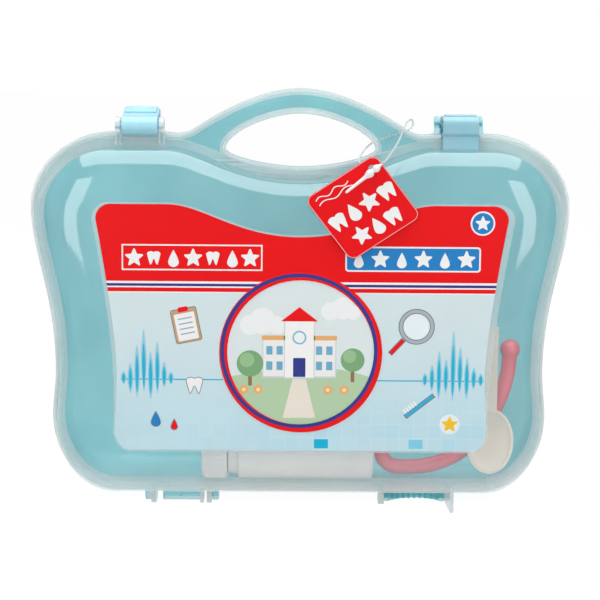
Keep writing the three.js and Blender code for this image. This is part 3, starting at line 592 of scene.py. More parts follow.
def wheel_growth():
    """Repeats a solid round the x axis."""
    tree = Growth("wheel", {
        "Count": "NodeSocketInt", "Radius": "NodeSocketFloat", "Centre": "NodeSocketVector"})
    circle = tree.node("GeometryNodeMeshCircle", None, {
        "Vertices": tree.given("Count"), "Radius": tree.given("Radius")})
    upright = tree.node("GeometryNodeTransform", None, {
        "Geometry": circle.outputs[0], "Rotation": (0, math.pi / 2, 0), "Translation": tree.given("Centre")})
    spread = tree.node("GeometryNodeInstanceOnPoints", None, {
        "Points": upright.outputs[0], "Instance": tree.given("Geometry")})
    tree.end(spread.outputs[0])
    return tree


# Materials

class Flow:
    """A shader socket on which sums are written as Python expressions."""

    def __init__(self, paint, socket):
        self.paint, self.socket = paint, socket

    def sum(self, operation, *others):
        return self.paint.node("ShaderNodeMath", {"operation": operation}, dict(enumerate((self, *others))))

    def __add__(self, other):
        return self.sum("ADD", other)

    def __sub__(self, other):
        return self.sum("SUBTRACT", other)

    def __mul__(self, other):
        return self.sum("MULTIPLY", other)

    def __truediv__(self, other):
        return self.sum("DIVIDE", other)

    __radd__, __rmul__ = __add__, __mul__

    def __rsub__(self, other):
        return self.paint.node("ShaderNodeMath", {"operation": "SUBTRACT"}, {0: other, 1: self})

    def above(self, level):
        return self.sum("GREATER_THAN", level)

    def below(self, level):
        return self.sum("LESS_THAN", level)

    def rise(self, low, high):
        """0 below low, 1 above high and smooth between them."""
        return self.paint.node("ShaderNodeMapRange", {"interpolation_type": "SMOOTHSTEP"}, {
            "Value": self, "From Min": low, "From Max": high})


class Paint:
    """The nodes of one material, or of the world."""

    def __init__(self, name, group="materials"):
        self.owner = getattr(bpy.data, group).new(name)
        self.owner.use_nodes = True
        self.tree = self.owner.node_tree
        self.tree.nodes.clear()

    def node(self, kind, settings=None, sockets=None, output=0):
        made = self.tree.nodes.new(kind)
        for name, value in (settings or {}).items():
            setattr(made, name, value)
        for name, value in (sockets or {}).items():
            if isinstance(value, Flow):
                self.tree.links.new(value.socket, made.inputs[name])
            elif made.inputs[name].type == "RGBA":
                made.inputs[name].default_value = (*value, 1)
            else:
                made.inputs[name].default_value = value
        return Flow(self, made.outputs[output])

    def place(self):
        """Where a point lies in the row frame, as a vector in metres."""
        return self.node("ShaderNodeTexCoord", None, None, "Object")

    def axes(self):
        spot = self.node("ShaderNodeSeparateXYZ", None, {0: self.place()}).socket.node
        return [Flow(self, socket) for socket in spot.outputs]

    def noise(self, size, detail=3):
        """Even noise about 0.5, its patches about one size across."""
        return self.node("ShaderNodeTexNoise", None, {
            "Vector": self.place(), "Scale": 1 / size, "Detail": detail, "Roughness": 0.55})

    def blend(self, share, a, b):
        return self.node("ShaderNodeMix", {"data_type": "RGBA"}, {0: share, 6: a, 7: b}, 2)

    def attribute(self, name, output):
        return self.node("ShaderNodeAttribute", {"attribute_name": name}, None, output)

    def mixed(self, share, first, second):
        """One shader, or a share of another."""
        return self.node("ShaderNodeMixShader", None, {0: share, 1: first, 2: second})

    def clear(self):
        return self.node("ShaderNodeBsdfTransparent")

    def seen_directly(self):
        """1 where the camera looks, also through clear plastic or in a reflection, and 0 for stray light."""
        ways = self.node("ShaderNodeLightPath").socket.node.outputs
        camera, glossy, through = [
            Flow(self, ways[f"Is {way} Ray"]) for way in ("Camera", "Glossy", "Transmission")]
        return (camera + glossy + through).sum("MINIMUM", 1)

    def bump(self, height, distance):
        return self.node("ShaderNodeBump", None, {"Height": height, "Distance": distance, "Strength": 1})

    def plastic(self, colour, roughness, specular=0.5, **sockets):
        return self.node("ShaderNodeBsdfPrincipled", None, {
            "Base Color": colour, "Roughness": roughness, "Specular IOR Level": specular, **sockets})

    def finish(self, shader):
        kind = "World" if isinstance(self.owner, bpy.types.World) else "Material"
        out = self.tree.nodes.new("ShaderNodeOutput" + kind)
        self.tree.links.new(shader.socket, out.inputs["Surface"])
        return self.owner


def see_through_plastic(name, colour, deep):
    """Moulded plastic that lets light through.

    Its haze comes from the mesh, and its gloss stays where it is clear."""
    paint = Paint(name)
    haze = paint.attribute("haze", "Fac")
    cloud = paint.noise(0.03, 2)
    tone = paint.blend(cloud.rise(0.3, 0.7), colour, deep)
    relief = paint.bump(paint.noise(0.002, 2), 0.000004)
    lit = paint.plastic(tone, 0.28 + 0.1 * paint.noise(0.012), 0, Normal=relief)
    glow = paint.node("ShaderNodeBsdfTranslucent", None, {"Color": tone})
    cover = (haze + 0.06 * (cloud - 0.5)).sum("MAXIMUM", 0.02)
    veil = paint.mixed(cover, paint.clear(), paint.mixed(0.5, lit, glow))
    gloss = paint.node("ShaderNodeBsdfGlossy", None, {
        "Color": (1, 1, 1), "Roughness": 0.07, "Normal": relief})
    slant = paint.node("ShaderNodeLayerWeight", None, {"Blend": 0.5}, 1)
    mirror = (0.04 + 0.6 * slant.sum("POWER", 4)) * paint.attribute("gloss", "Fac")
    return paint.finish(paint.mixed(mirror, veil, gloss))


def nylon(name, least, more):
    """Clear plastic of the strand. It hides the least share of what is behind it, and more where frosted."""
    paint = Paint(name)
    frost = paint.noise(0.002, 2)
    white = paint.plastic(paint.blend(frost, (0.86, 0.89, 0.90), (0.70, 0.75, 0.78)), 0.22)
    return paint.finish(paint.mixed(least + more * frost, paint.clear(), white))


def solid_plastic(name, colour, deep, roughness, patch=0.02):
    """Opaque moulded plastic with faint flow marks and a fine grain."""
    paint = Paint(name)
    tone = paint.blend(paint.noise(patch, 3).rise(0.3, 0.7), colour, deep)
    grain = paint.bump(paint.noise(0.0007, 2), 0.000015)
    return paint.finish(paint.plastic(tone, roughness + 0.12 * paint.noise(patch / 2), Normal=grain))


def label_film(colours):
    """Printed film: the red head, its lines and the pale blue field with faint squares."""
    paint = Paint("label_film")
    x, _, z = paint.axes()
    x, z = x / MM, z / MM - EAR_DROP
    sky = paint.blend(z.rise(30, 108), (0.55, 0.76, 0.83), (0.67, 0.80, 0.82))
    column, row = x / SQUARE, z / SQUARE
    seam = column.sum("FRACT").below(0.05).sum("MAXIMUM", row.sum("FRACT").below(0.05))
    squares = paint.node("ShaderNodeCombineXYZ", None, {0: column.sum("FLOOR"), 1: row.sum("FLOOR"), 2: 3})
    chance = paint.node("ShaderNodeTexWhiteNoise", {"noise_dimensions": "3D"}, {"Vector": squares}, "Value")
    low = (1 - z.rise(36, 62)) * (0.3 + 0.7 * x.rise(-60, 30))
    tone = paint.blend(chance * low * 0.45, sky, (0.36, 0.70, 0.83))
    tone = paint.blend(seam * (0.06 + 0.22 * low), tone, (0.80, 0.88, 0.90))
    gap = (0.90, 0.91, 0.91)
    for level, ink in ((106.9, (0.86, 0.88, 0.88)), (107.5, colours.print_red), (109.5, gap),
                       (110.2, colours.print_navy), (111.5, gap), (112.6, colours.print_red)):
        tone = paint.blend(z.above(level), tone, ink)
    tone = paint.blend(0.08 * paint.noise(0.02, 2), tone, (0.3, 0.02, 0.03))
    relief = paint.bump(paint.noise(0.004, 2), 0.00002)
    return paint.finish(paint.plastic(tone, 0.32 + 0.08 * paint.noise(0.0004, 2), 0.1, Normal=relief))


def printed_ink(name, roughness):
    """Ink whose colour is kept on the mesh."""
    paint = Paint(name)
    speckle = paint.noise(0.0005, 2)
    tone = paint.blend(0.04 * speckle, paint.attribute("ink", "Color"), (0.1, 0.1, 0.12))
    return paint.finish(paint.plastic(tone, roughness + 0.08 * speckle, 0.1))


# Half shells

def rim_ring(name, outline, sizes, side=1):
    """Raised lip along an outline, its edges rounded, its inner side running out on the plate."""
    width, depth, r = sizes.lip / MM, sizes.rim_depth / MM, sizes.edge_round / MM
    profile = [(0.25, PARTING), (0.06, PARTING + 0.06), (0, PARTING + 0.25),
               (0, depth - r), (0.3 * r, depth - 0.3 * r), (r, depth),
               (width - r, depth), (width - 0.3 * r, depth - 0.3 * r), (width, depth - r)]
    for angle in (0, 22.5, 45, 67.5, 90):
        back, rise = 1 - math.cos(math.radians(angle)), 1 - math.sin(math.radians(angle))
        profile.append((width + LIP_FOOT * back, PARTING + 1.55 + rise * (depth - 2.6)))
    profile.append((width + LIP_FOOT, PARTING))
    return loft(name, [facing(inset(outline, side * d), y) for d, y in profile], looped=True)


def dome(name, guide, start, sizes, wall=0.0):
    """Outer form of a dome, or its cavity behind a wall."""
    flange, depth = sizes.lip / MM + GROOVE + STEP, sizes.dome_depth / MM
    edge = sizes.dome_round / MM
    small = edge - wall

    def wider(back):
        """How far in a ring lies: further along the top, where the flange is wider."""
        def at(z):
            narrowing = LOW_NARROWING * (1 - smooth(z, LOW_START_Z, LOW_END_Z))
            extra = FLANGE_EXTRA * smooth(z, FLANGE_START_Z, FLANGE_FULL_Z)
            return flange + wall + extra + back * (1 - narrowing)
        return at

    rings = [facing(inset(guide, wider(0)), start)]
    for step in range(DOME_RINGS):
        angle = step / (DOME_RINGS - 1) * math.pi / 2
        back = DOME_DRAFT + DOME_SPREAD * small * (1 - math.cos(angle))
        rings.append(facing(inset(guide, wider(back)), depth - edge + small * math.sin(angle)))
    rings.append(facing(inset(guide, wider(back + 0.5)), depth - edge + small))
    return loft(name, rings)


def latch_ears():
    """The pair of ears on the left shoulder in which the latch turns."""
    seat, edge = SHOULDER_Z - EAR_SEAT, -PARTING - EAR_GAP
    outline = [(edge, seat), (edge, SHOULDER_Z), *arc((PIVOT_Y, PIVOT_Z), EAR_RADIUS, 0, 180, 16),
               (PIVOT_Y - EAR_RADIUS, seat)]
    inner = LATCH_WIDTH / 2 + EAR_PLAY
    return [side_slab("ear", outline, -LATCH_X - inner - EAR_WIDTH, -LATCH_X - inner),
            side_slab("ear", outline, -LATCH_X + inner, -LATCH_X + inner + EAR_WIDTH)]


def lug(centre, width):
    """Hinge ear that hangs from the rim and reaches round the hinge line."""
    edge = -PARTING - EAR_GAP
    outline = [(edge, EAR_SEAT), (-LUG_REACH, EAR_SEAT), (-LUG_REACH, 0), (-LUG_TOE, -EAR_DROP),
               *arc((0, HINGE_Z), HINGE_RADIUS, -90, 90, 16), (edge, HINGE_Z + HINGE_RADIUS)]
    return side_slab("lug", outline, centre - width / 2, centre + width / 2)


def wide_ears():
    """Outer ears with stub pins, and the pointed foot beside them."""
    inner = WIDE_EAR_OFFSET - WIDE_EAR / 2
    middle = HINGE_X + WIDE_EAR_OFFSET + (2 * FOOT_HALF - WIDE_EAR) / 2
    ends = []
    for half, top, reach in ((FOOT_HALF, EAR_SEAT, EAR_SEAT), (FOOT_TIP_HALF, FOOT_TIP_Z, FOOT_REACH)):
        left, right = middle - half, middle + half
        ends.append(facing([(left, -EAR_DROP), (right, -EAR_DROP), (right, top), (left, top)], reach))
    foot = soften(loft("foot", ends), 0.3)
    near, far = inner - NARROW_EAR - PIN_OVERLAP, inner + PIN_OVERLAP
    pins = [bar("pin", HINGE_PIN_RADIUS, HINGE_X + low, HINGE_X + high, 0, HINGE_Z, 0.2)
            for low, high in ((-far, -near), (near, far))]
    return [lug(HINGE_X - WIDE_EAR_OFFSET, WIDE_EAR), lug(HINGE_X + WIDE_EAR_OFFSET, WIDE_EAR), foot, *pins]


def hinge_web():
    """Bar between the back shell's inner ears, its lower edge arched."""
    left, right, top = -HINGE_X - NARROW_EAR_OFFSET, -HINGE_X + NARROW_EAR_OFFSET, HINGE_Z + WEB_TOP
    low = WEB_LOW - EAR_DROP
    arch = bend([(left, low), (-HINGE_X, WEB_ARCH - EAR_DROP), (right, low)], 20)
    outline = arch + [Vector((right, low)), Vector((right, top)), Vector((left, top))]
    return slab("web", outline, -WEB_HALF_DEPTH, WEB_HALF_DEPTH)


def strand_groove():
    """Groove across the handle's right leg where the strand passes."""
    start, end = Vector(STRAND_ROUTE[LEG_START]), Vector(STRAND_ROUTE[LEG_END])
    across = start - end
    half = Vector((across.x, 0, across.z)).length / 2 + OVERRUN
    far = Vector((half, CUT_HALF_DEPTH, CUT_HALF_HEIGHT))
    piece = block("groove", -far, far)
    middle = Matrix.Translation(((start.x + end.x) / 2, CUT_Y, (start.z + end.z) / 2))
    piece.data.transform(middle @ Matrix.Rotation(-math.atan2(across.z, across.x), 4, "Y"))
    return piece


def even(piece, **levels):
    """Writes one level of haze and gloss for all of a piece."""
    for name, level in levels.items():
        made = piece.data.attributes.new(name, "FLOAT", "FACE")
        made.data.foreach_set("value", [level] * len(piece.data.polygons))


def set_haze(piece, sizes, levels):
    """Writes how milky each face looks: thick lips and edges more than plates, walls and faces.

    The inner faces of the dome are less glossy than the outer ones."""
    spots = []
    for outline in (rim_outline(), grip_hole()):
        for i, p in enumerate(outline):
            spots += [p.lerp(outline[(i + 1) % len(outline)], step / 6) for step in range(6)]
    rims = KDTree(len(spots))
    for i, p in enumerate(spots):
        rims.insert((p.x, p.y, 0), i)
    rims.balance()
    lip, plate = sizes.lip / MM + LIP_FOOT, sizes.plate / MM + PARTING
    start, end = LATCH_X - LATCH_WIDTH / 2 - EAR_PLAY, LATCH_X + LATCH_WIDTH / 2 + EAR_PLAY
    with editing(piece.data) as shape:
        for x in (-NECK_START_X, NECK_START_X, start, end):
            whole = [*shape.verts, *shape.edges, *shape.faces]
            bmesh.ops.bisect_plane(shape, geom=whole, plane_co=(x, 0, 0), plane_no=(1, 0, 0))
    haze = piece.data.attributes.new("haze", "FLOAT", "FACE")
    gloss = piece.data.attributes.new("gloss", "FLOAT", "FACE")
    values, shines = [], []
    for face in piece.data.polygons:
        x, y, z = face.center
        depth, off = abs(y), rims.find((x, z, 0))[2]
        between_necks = abs(x) < NECK_START_X
        if z < -NEAR or (z > SHOULDER_Z + NEAR and abs(x) > NECK_START_X):
            level = levels["ear"]
        elif depth > DOME_START:
            share = min(1, (depth - DOME_START) / FADE_DEPTH) ** FADE_POWER
            level = mix(levels["wall"], levels["face"], share)
            level += levels["foot"] * (1 - smooth(z, MILKY_FOOT_Z, CLEAR_FOOT_Z))
        elif abs(face.normal.y) > 0.95 and depth < plate + 2 * NEAR:
            on_handle = between_necks and z > HOLE_BOTTOM_Z - WEB_REACH
            if on_handle or (z > SHOULDER_Z - NOTCH_REACH and start < x < end):
                level = levels["web"]
            else:
                level = levels["dip" if between_necks and z > HOLE_BOTTOM_Z - DIP_REACH else "flange"]
        elif off < lip + 2 * NEAR:
            level = levels["lip"]
        else:
            level = levels["step" if depth < STEP_DEPTH + 2 * NEAR else "wall"]
        values.append(level)
        inner = depth > 0.6 and off > lip and (face.center - DOME_CENTRE).dot(face.normal) < 0
        shines.append(levels["inside"] if inner else 1)
    haze.data.foreach_set("value", values)
    gloss.data.foreach_set("value", shines)


def half_shell(name, sizes, extras, cuts):
    """One half of the case, with its dome towards the viewer."""
    guide, rim, hole = dome_guide(), rim_outline(), grip_hole()
    plate, lip, depth, wall = sizes.plate / MM, sizes.lip / MM, sizes.rim_depth / MM, sizes.wall / MM
    shell = slab(name, inset(rim, 0.2), PARTING, PARTING + plate)
    carve(shell, [slab("hole", inset(hole, -0.2), -OVERRUN, PARTING + plate + OVERRUN)], "DIFFERENCE")
    carve(shell, [rim_ring("lip", rim, sizes), rim_ring("hole_lip", hole, sizes, -1)], "UNION")
    half = LATCH_WIDTH / 2 + EAR_PLAY
    notches = [block("notch", (side * LATCH_X - half, -depth - OVERRUN, SHOULDER_Z - NOTCH_DROP),
                     (side * LATCH_X + half, -PARTING - plate, SHOULDER_Z + OVERRUN)) for side in (-1, 1)]
    carve(shell, notches, "DIFFERENCE")
    step = slab("step", inset(guide, lip + GROOVE), PARTING + 0.05, STEP_DEPTH, 0.3)
    carve(shell, [step, dome("dome", guide, PARTING, sizes), *latch_ears(), *wide_ears(),
                  lug(-HINGE_X - NARROW_EAR_OFFSET, NARROW_EAR),
                  lug(-HINGE_X + NARROW_EAR_OFFSET, NARROW_EAR), *extras], "UNION")
    reach, ear_reach = LATCH_WIDTH / 2 + EAR_WIDTH + OVERRUN, NARROW_EAR_OFFSET + NARROW_EAR
    carve(shell, [dome("cavity", guide, -OVERRUN, sizes, wall),
                  bar("pin_hole", LATCH_HOLE_RADIUS, -LATCH_X - reach, -LATCH_X + reach, PIVOT_Y, PIVOT_Z),
                  bar("ear_hole", HINGE_HOLE_RADIUS, -HINGE_X - ear_reach, -HINGE_X + ear_reach, 0, HINGE_Z),
                  *cuts], "DIFFERENCE")
    return shell


# Printed shapes

class Print:
    """Printed shapes on a flat face, each a thin slab of one ink."""

    def __init__(self, face):
        self.face, self.shapes = face, []

    def ink(self, outline, colour, level=0, holes=()):
        self.shapes.append(([Vector(p) for p in outline], tuple(colour), level, holes))

    def outlined(self, outline, colour, level=0):
        """A shape with a dark line round it."""
        self.ink(outline, GREY, level)
        self.ink(inset(outline, OUTLINE_WIDTH), colour, level + 1)

    def ring(self, centre, outer, inner, colour, level=0):
        self.ink(arc(centre, outer, 0, 360, 64)[1:], colour, level, [arc(centre, inner, 0, 360, 64)[1:]])

    def disc(self, centre, radius, colour, level=0):
        self.ink(arc(centre, radius, 0, 360, 48)[1:], colour, level)

    def frame(self, centre, size, corner, line, colour, level=0):
        inner = rounded_box(centre, (size[0] - 2 * line, size[1] - 2 * line), max(corner - line, 0.1))
        self.ink(rounded_box(centre, size, corner), colour, level, [inner])

    def line(self, points, width, colour, level=0):
        """A line along points, of one width or of widths that a function gives."""
        left, right = [], []
        for i, p in enumerate(points):
            before, after = Vector(points[max(i - 1, 0)]), Vector(points[min(i + 1, len(points) - 1)])
            along = (after - before).normalized()
            half = (width(i / (len(points) - 1)) if callable(width) else width) / 2
            side = Vector((-along.y, along.x)) * half
            left.append(Vector(p) + side)
            right.append(Vector(p) - side)
        self.ink(right + list(reversed(left)), colour, level)

    def mesh(self, name):
        """All shapes as one object, their colours on its corners."""
        points, faces, inks = [], [], []
        for outline, colour, level, holes in self.shapes:
            rims = [outline, *[[Vector(p) for p in hole] for hole in holes]]
            low, high = self.face - INK, self.face + INK * (level + 1) * 0.6
            flat = tessellate_polygon([[Vector((p.x, p.y, 0)) for p in rim] for rim in rims])
            corners = [p for rim in rims for p in rim]
            first, count = len(points), len(corners)
            points += [(p.x, -low, p.y) for p in corners] + [(p.x, -high, p.y) for p in corners]
            made = [tuple(start + i for i in t) for start in (first, first + count) for t in flat]
            for rim in rims:
                following = [first + (i + 1) % len(rim) for i in range(len(rim))]
                made += [(first + i, j, count + j, first + count + i) for i, j in enumerate(following)]
                first += len(rim)
            faces += made
            inks += [colour] * len(made)
        mesh = bpy.data.meshes.new(name)
        mesh.from_pydata(points, [], faces)
        with editing(mesh) as shape:
            paint = shape.loops.layers.float_color.new("ink")
            for face, colour in zip(shape.faces, inks):
                for corner in face.loops:
                    corner[paint] = (*colour, 1)
            bmesh.ops.recalc_face_normals(shape, faces=shape.faces)
        return added(name, mesh)


def tooth(centre, size):
    """Outline of a simple tooth."""
    x, z = centre
    right = (bend([(0, 0.40), (0.35, 0.62), (0.62, 0.30)], 6)
             + bend([(0.62, 0.30), (0.55, -0.1), (0.34, -0.75)], 8)
             + bend([(0.34, -0.75), (0.14, -0.72), (0.13, -0.3), (0, -0.18)], 8) + [Vector((0, -0.18))])
    return [Vector((x + p.x * size, z + p.y * size)) for p in reversed(mirrored(right))]


def star(centre, size):
    """Outline of a star with five blunt tips."""
    tips = []
    for i in range(10):
        reach, leans = (size * 0.52, (0,)) if i % 2 else (size, (-4, 4))
        for lean in leans:
            turn = math.radians(90 + 36 * i + lean)
            tips.append(Vector((centre[0] + reach * math.cos(turn), centre[1] + reach * math.sin(turn))))
    return tips


def drop(centre, size):
    """Outline of a drop with its point up."""
    x, z = centre
    round_end = arc((0, -0.25), 0.55, 190, 350, 14)
    sides = (bend([round_end[-1], (0.5, 0.1), (0, 0.95)], 6)
             + bend([(0, 0.95), (-0.5, 0.1), round_end[0]], 6))
    return [Vector((x + p.x * size, z + p.y * size)) for p in round_end + sides]


def level_bars(art, heights, left, step, cyan):
    """Upright bars on a level line, pointed at both ends, each given by its rise and fall."""
    pale = [mix(c, w, 0.5) for c, w in zip(cyan, (0.62, 0.80, 0.86))]
    art.line([(left - 1.5, BARS_Z), (left + step * (len(heights) - 1) + 1.5, BARS_Z)], 0.6, cyan)
    for i, (rise, fall) in enumerate(heights):
        x = left + step * i
        for share, width, ink, layer in ((1, 2.5, pale, 1), (0.72, 1.4, cyan, 2)):
            ends = [(x, mix(BARS_Z - fall * share, BARS_Z + rise * share, j / 16)) for j in range(17)]
            art.line(ends, lambda t: 0.2 + width * math.sin(math.pi * t) ** 0.8, ink, layer)


def draw_icons(art, colours):
    """Small generic pictures on the label's lower field."""

    def leaning(height, size, corner):
        return turned(rounded_box((-55, height), size, corner), (-55, 91), 0.2)

    # clipboard
    art.outlined(leaning(91, (13, 17), 1.2), (0.55, 0.36, 0.20))
    art.ink(leaning(90.4, (10, 13.4), 0.5), WHITE, 2)
    for row in range(4):
        art.ink(leaning(87 + 2.5 * row, (7, 0.6), 0.28), (0.35, 0.42, 0.5), 3)
    art.ink(leaning(99, (5, 2.4), 0.8), colours.print_red, 3)
    # tooth and drops
    art.outlined(tooth((-51, 62), 7), WHITE)
    art.outlined(drop((-70, 44), 4.6), colours.print_blue, 3)
    art.outlined(drop((-61, 41.4), 3.4), colours.print_red, 3)
    # magnifier
    art.line([(50.8, 84.6), (44.2, 77.4)], 2.6, GREY)
    art.line([(50.5, 84.2), (44.5, 77.7)], 1.8, colours.print_red, 1)
    art.ring((57, 91), 8.8, 6.4, GREY)
    art.ring((57, 91), 8.4, 6.8, (0.42, 0.47, 0.52), 1)
    art.disc((57, 91), 6.5, (0.80, 0.90, 0.93))
    art.line([(53.5, 92), (54.6, 94.6), (57, 95.6)], 0.8, WHITE, 1)
    # toothbrush
    art.line([(52, 46), (66, 57)], 2.4, GREY)
    art.line([(52.4, 46.3), (65.6, 56.7)], 1.7, (0.05, 0.42, 0.66), 1)
    for i in range(5):
        foot = Vector((52.6 + 1.25 * i, 47.9 + 0.98 * i))
        art.line([foot, foot + Vector((-1.5, 1.9))], 0.95, WHITE, 1)
    # small star on a pale patch
    art.disc((74, 42.5), 5, (0.78, 0.87, 0.90))
    art.ink(star((74, 42.4), 4), (0.92, 0.56, 0.02), 1)


def draw_picture(art, colours):
    """A generic picture in the ring: a small clinic with trees under a pale sky."""

    def spot(x, z):
        return RING_CENTRE[0] + x, RING_CENTRE[1] + z

    def box(x, z, width, height, corner, ink, level):
        art.ink(rounded_box(spot(x, z), (width, height), corner), ink, level)

    # ground and sky
    art.disc(RING_CENTRE, PICTURE_RADIUS, (0.72, 0.80, 0.80))
    ground = arc(RING_CENTRE, PICTURE_RADIUS, 200, 340, 40)
    ground += bend([ground[-1], spot(12, -4), spot(-14, -9), ground[0]], 16)
    art.ink(ground, (0.46, 0.62, 0.40), 1)
    clouds = [(-24, 13, 5), (-18, 15, 6.5), (-11, 13, 4.5), (15, 20, 4.5), (21, 21.5, 5.5), (26, 19.5, 3.6)]
    for i, (x, z, radius) in enumerate(clouds):
        art.disc(spot(x, z), radius, (0.86, 0.88, 0.88), 1 + i % 3)
    # trees
    for x, z, radius in ((-24, -6, 6.5), (26, -4, 5.8)):
        box(x, z - 7, 1.8, 8, 0.4, (0.30, 0.17, 0.09), 2)
        art.disc(spot(x, z), radius, (0.20, 0.40, 0.20), 3)
        art.disc(spot(x - 1.5, z + 1.8), radius * 0.55, (0.32, 0.53, 0.28), 4)
    # clinic
    edge = (0.62, 0.68, 0.72)
    box(0, -3, 36, 20, 0.5, edge, 2)
    box(0, -2.7, 35, 19, 0.5, (0.86, 0.85, 0.82), 3)
    box(0, 1, 15, 29, 0.5, edge, 4)
    box(0, 1.2, 14, 28, 0.5, (0.91, 0.90, 0.88), 5)
    art.ink([spot(-9, 15), spot(9, 15), spot(0, 22)], colours.print_red, 6)
    for x in (-11.5, 11.5):
        box(x, 6.8, 13.5, 2.2, 0.4, (0.80, 0.42, 0.16), 4)
    for x in (-14.6, -9.6, 9.6, 14.6):
        for z in (-7, 0.6):
            box(x, z, 3, 4.2, 0.3, (0.16, 0.42, 0.60), 5)
    box(0, -7.8, 6, 9.4, 0.4, colours.print_navy, 7)
    art.disc(spot(0, 7), 3.4, (0.20, 0.50, 0.66), 6)
    art.disc(spot(0, 7), 2.6, WHITE, 7)
    # path and flowers
    art.ink([spot(-3, -12.5), spot(-8, -33), spot(8, -33), spot(3, -12.5)], (0.82, 0.76, 0.66), 2)
    for x in (-27, -20, 14, 22):
        art.disc(spot(x, -19), 2.2, (0.85, 0.42, 0.20), 3)
        art.disc(spot(x, -19), 0.9, (0.92, 0.78, 0.30), 4)


# Operators

class PieceOperator:
    """What the operators share: they work on the scene and can be undone."""

    bl_options = {"REGISTER", "UNDO"}

    @property
    def sizes(self):
        return bpy.context.scene.doctor_case_sizes

    @property
    def colours(self):
        return bpy.context.scene.doctor_case_colours


class CASE_OT_studio(PieceOperator, bpy.types.Operator):
    """Add the camera, the soft lights, the white surroundings and the pale floor"""

    bl_idname = "doctor_case.studio"
    bl_label = "Studio"

    def softbox(self, name, spot, size, brightness, aim=(0, 0, 0.1), glint=False):
        """An area light whose face is so many times as bright as the white backdrop.

        A glint shows only as a reflection, the others only light up."""
        lamp = bpy.data.lights.new(name, "AREA")
        lamp.shape, lamp.size, lamp.size_y = "RECTANGLE", size[0], size[1]
        lamp.energy = brightness * math.pi * size[0] * size[1]
        lamp_object = added(name, lamp)
        lamp_object.location = spot
        lamp_object.rotation_euler = (Vector(aim) - Vector(spot)).to_track_quat("-Z", "Y").to_euler()
        lamp_object.visible_camera = False
        lamp_object.visible_glossy = glint
        lamp_object.visible_diffuse = not glint
        lamp_object.visible_transmission = not glint

    def execute(self, context):
        scene = context.scene
        scene.view_settings.view_transform = "Standard"
        scene.cycles.transparent_max_bounces = 40
        camera = added("camera", bpy.data.cameras.new("camera"))
        away = Vector((0, -math.cos(VIEW_ELEVATION), math.sin(VIEW_ELEVATION)))
        camera.location = VIEW_POINT + away * VIEW_DISTANCE
        aim = (-away).to_track_quat("-Z", "Y").to_matrix() @ Matrix.Rotation(VIEW_ROLL, 3, "Z")
        camera.rotation_euler = aim.to_euler()
        camera.data.sensor_width = SENSOR_WIDTH
        camera.data.lens = LENS
        camera.data.shift_x = 0.5 / IMAGE_WIDTH
        scene.camera = camera

        self.softbox("top_softbox", (0, -0.25, 0.8), (1.5, 0.4), 2.8, (0, -0.25, 0))
        self.softbox("top_glint", (0, -0.01, 0.77), (0.92, 0.98), 4.5, (0, -0.01, 0), glint=True)
        for side in (-1, 1):
            self.softbox("front_softbox", (side * 0.52, -1.38, 0.43), (0.6, 0.8), 2.5)
            self.softbox("side_glint", (side * 0.355, -0.605, 0.245), (0.17, 0.47), 4.2,
                         (side * 0.107, -0.034, 0.245), glint=True)

        air = Paint("surroundings", "worlds")
        glow = air.node("ShaderNodeBackground", None, {
            "Color": (1, 1, 1), "Strength": AMBIENT + (1 - AMBIENT) * air.seen_directly()})
        scene.world = air.finish(glow)

        mesh = bpy.data.meshes.new("floor")
        corners = [(x * FLOOR_HALF, y * FLOOR_HALF, 0) for x, y in ((-1, -1), (1, -1), (1, 1), (-1, 1))]
        mesh.from_pydata(corners, [], [(0, 1, 2, 3)])
        floor = added("floor", mesh)
        paint = Paint("pale_floor")
        matt = paint.node("ShaderNodeBsdfDiffuse", None, {"Color": [FLOOR_GREY] * 3})
        bright = paint.node("ShaderNodeEmission", None, {"Color": (1, 1, 1), "Strength": FLOOR_GLOW})
        share = FLOOR_GLOW_SHARE * paint.seen_directly()
        mesh.materials.append(paint.finish(paint.mixed(share, matt, bright)))
        return {"FINISHED"}


def strand_points():
    """The strand's line, a centripetal spline through its route, in the row frame."""
    route = [Vector(p) for p in STRAND_ROUTE]
    ends = [route[0] * 2 - route[1], *route, route[-1] * 2 - route[-2]]
    made = []
    for i in range(1, len(ends) - 2):
        p = ends[i - 1:i + 3]
        knots = [0.0]
        for a, b in zip(p, p[1:]):
            knots.append(knots[-1] + (b - a).length ** 0.5)
        for step in range(5):
            t = mix(knots[1], knots[2], step / 5)
            a = [p[j].lerp(p[j + 1], (t - knots[j]) / (knots[j + 1] - knots[j])) for j in range(3)]
            b = [a[j].lerp(a[j + 1], (t - knots[j]) / (knots[j + 2] - knots[j])) for j in range(2)]
            made.append(b[0].lerp(b[1], (t - knots[1]) / (knots[2] - knots[1])))
    return [INTO_ROW_FRAME @ p for p in made + [route[-1]]]


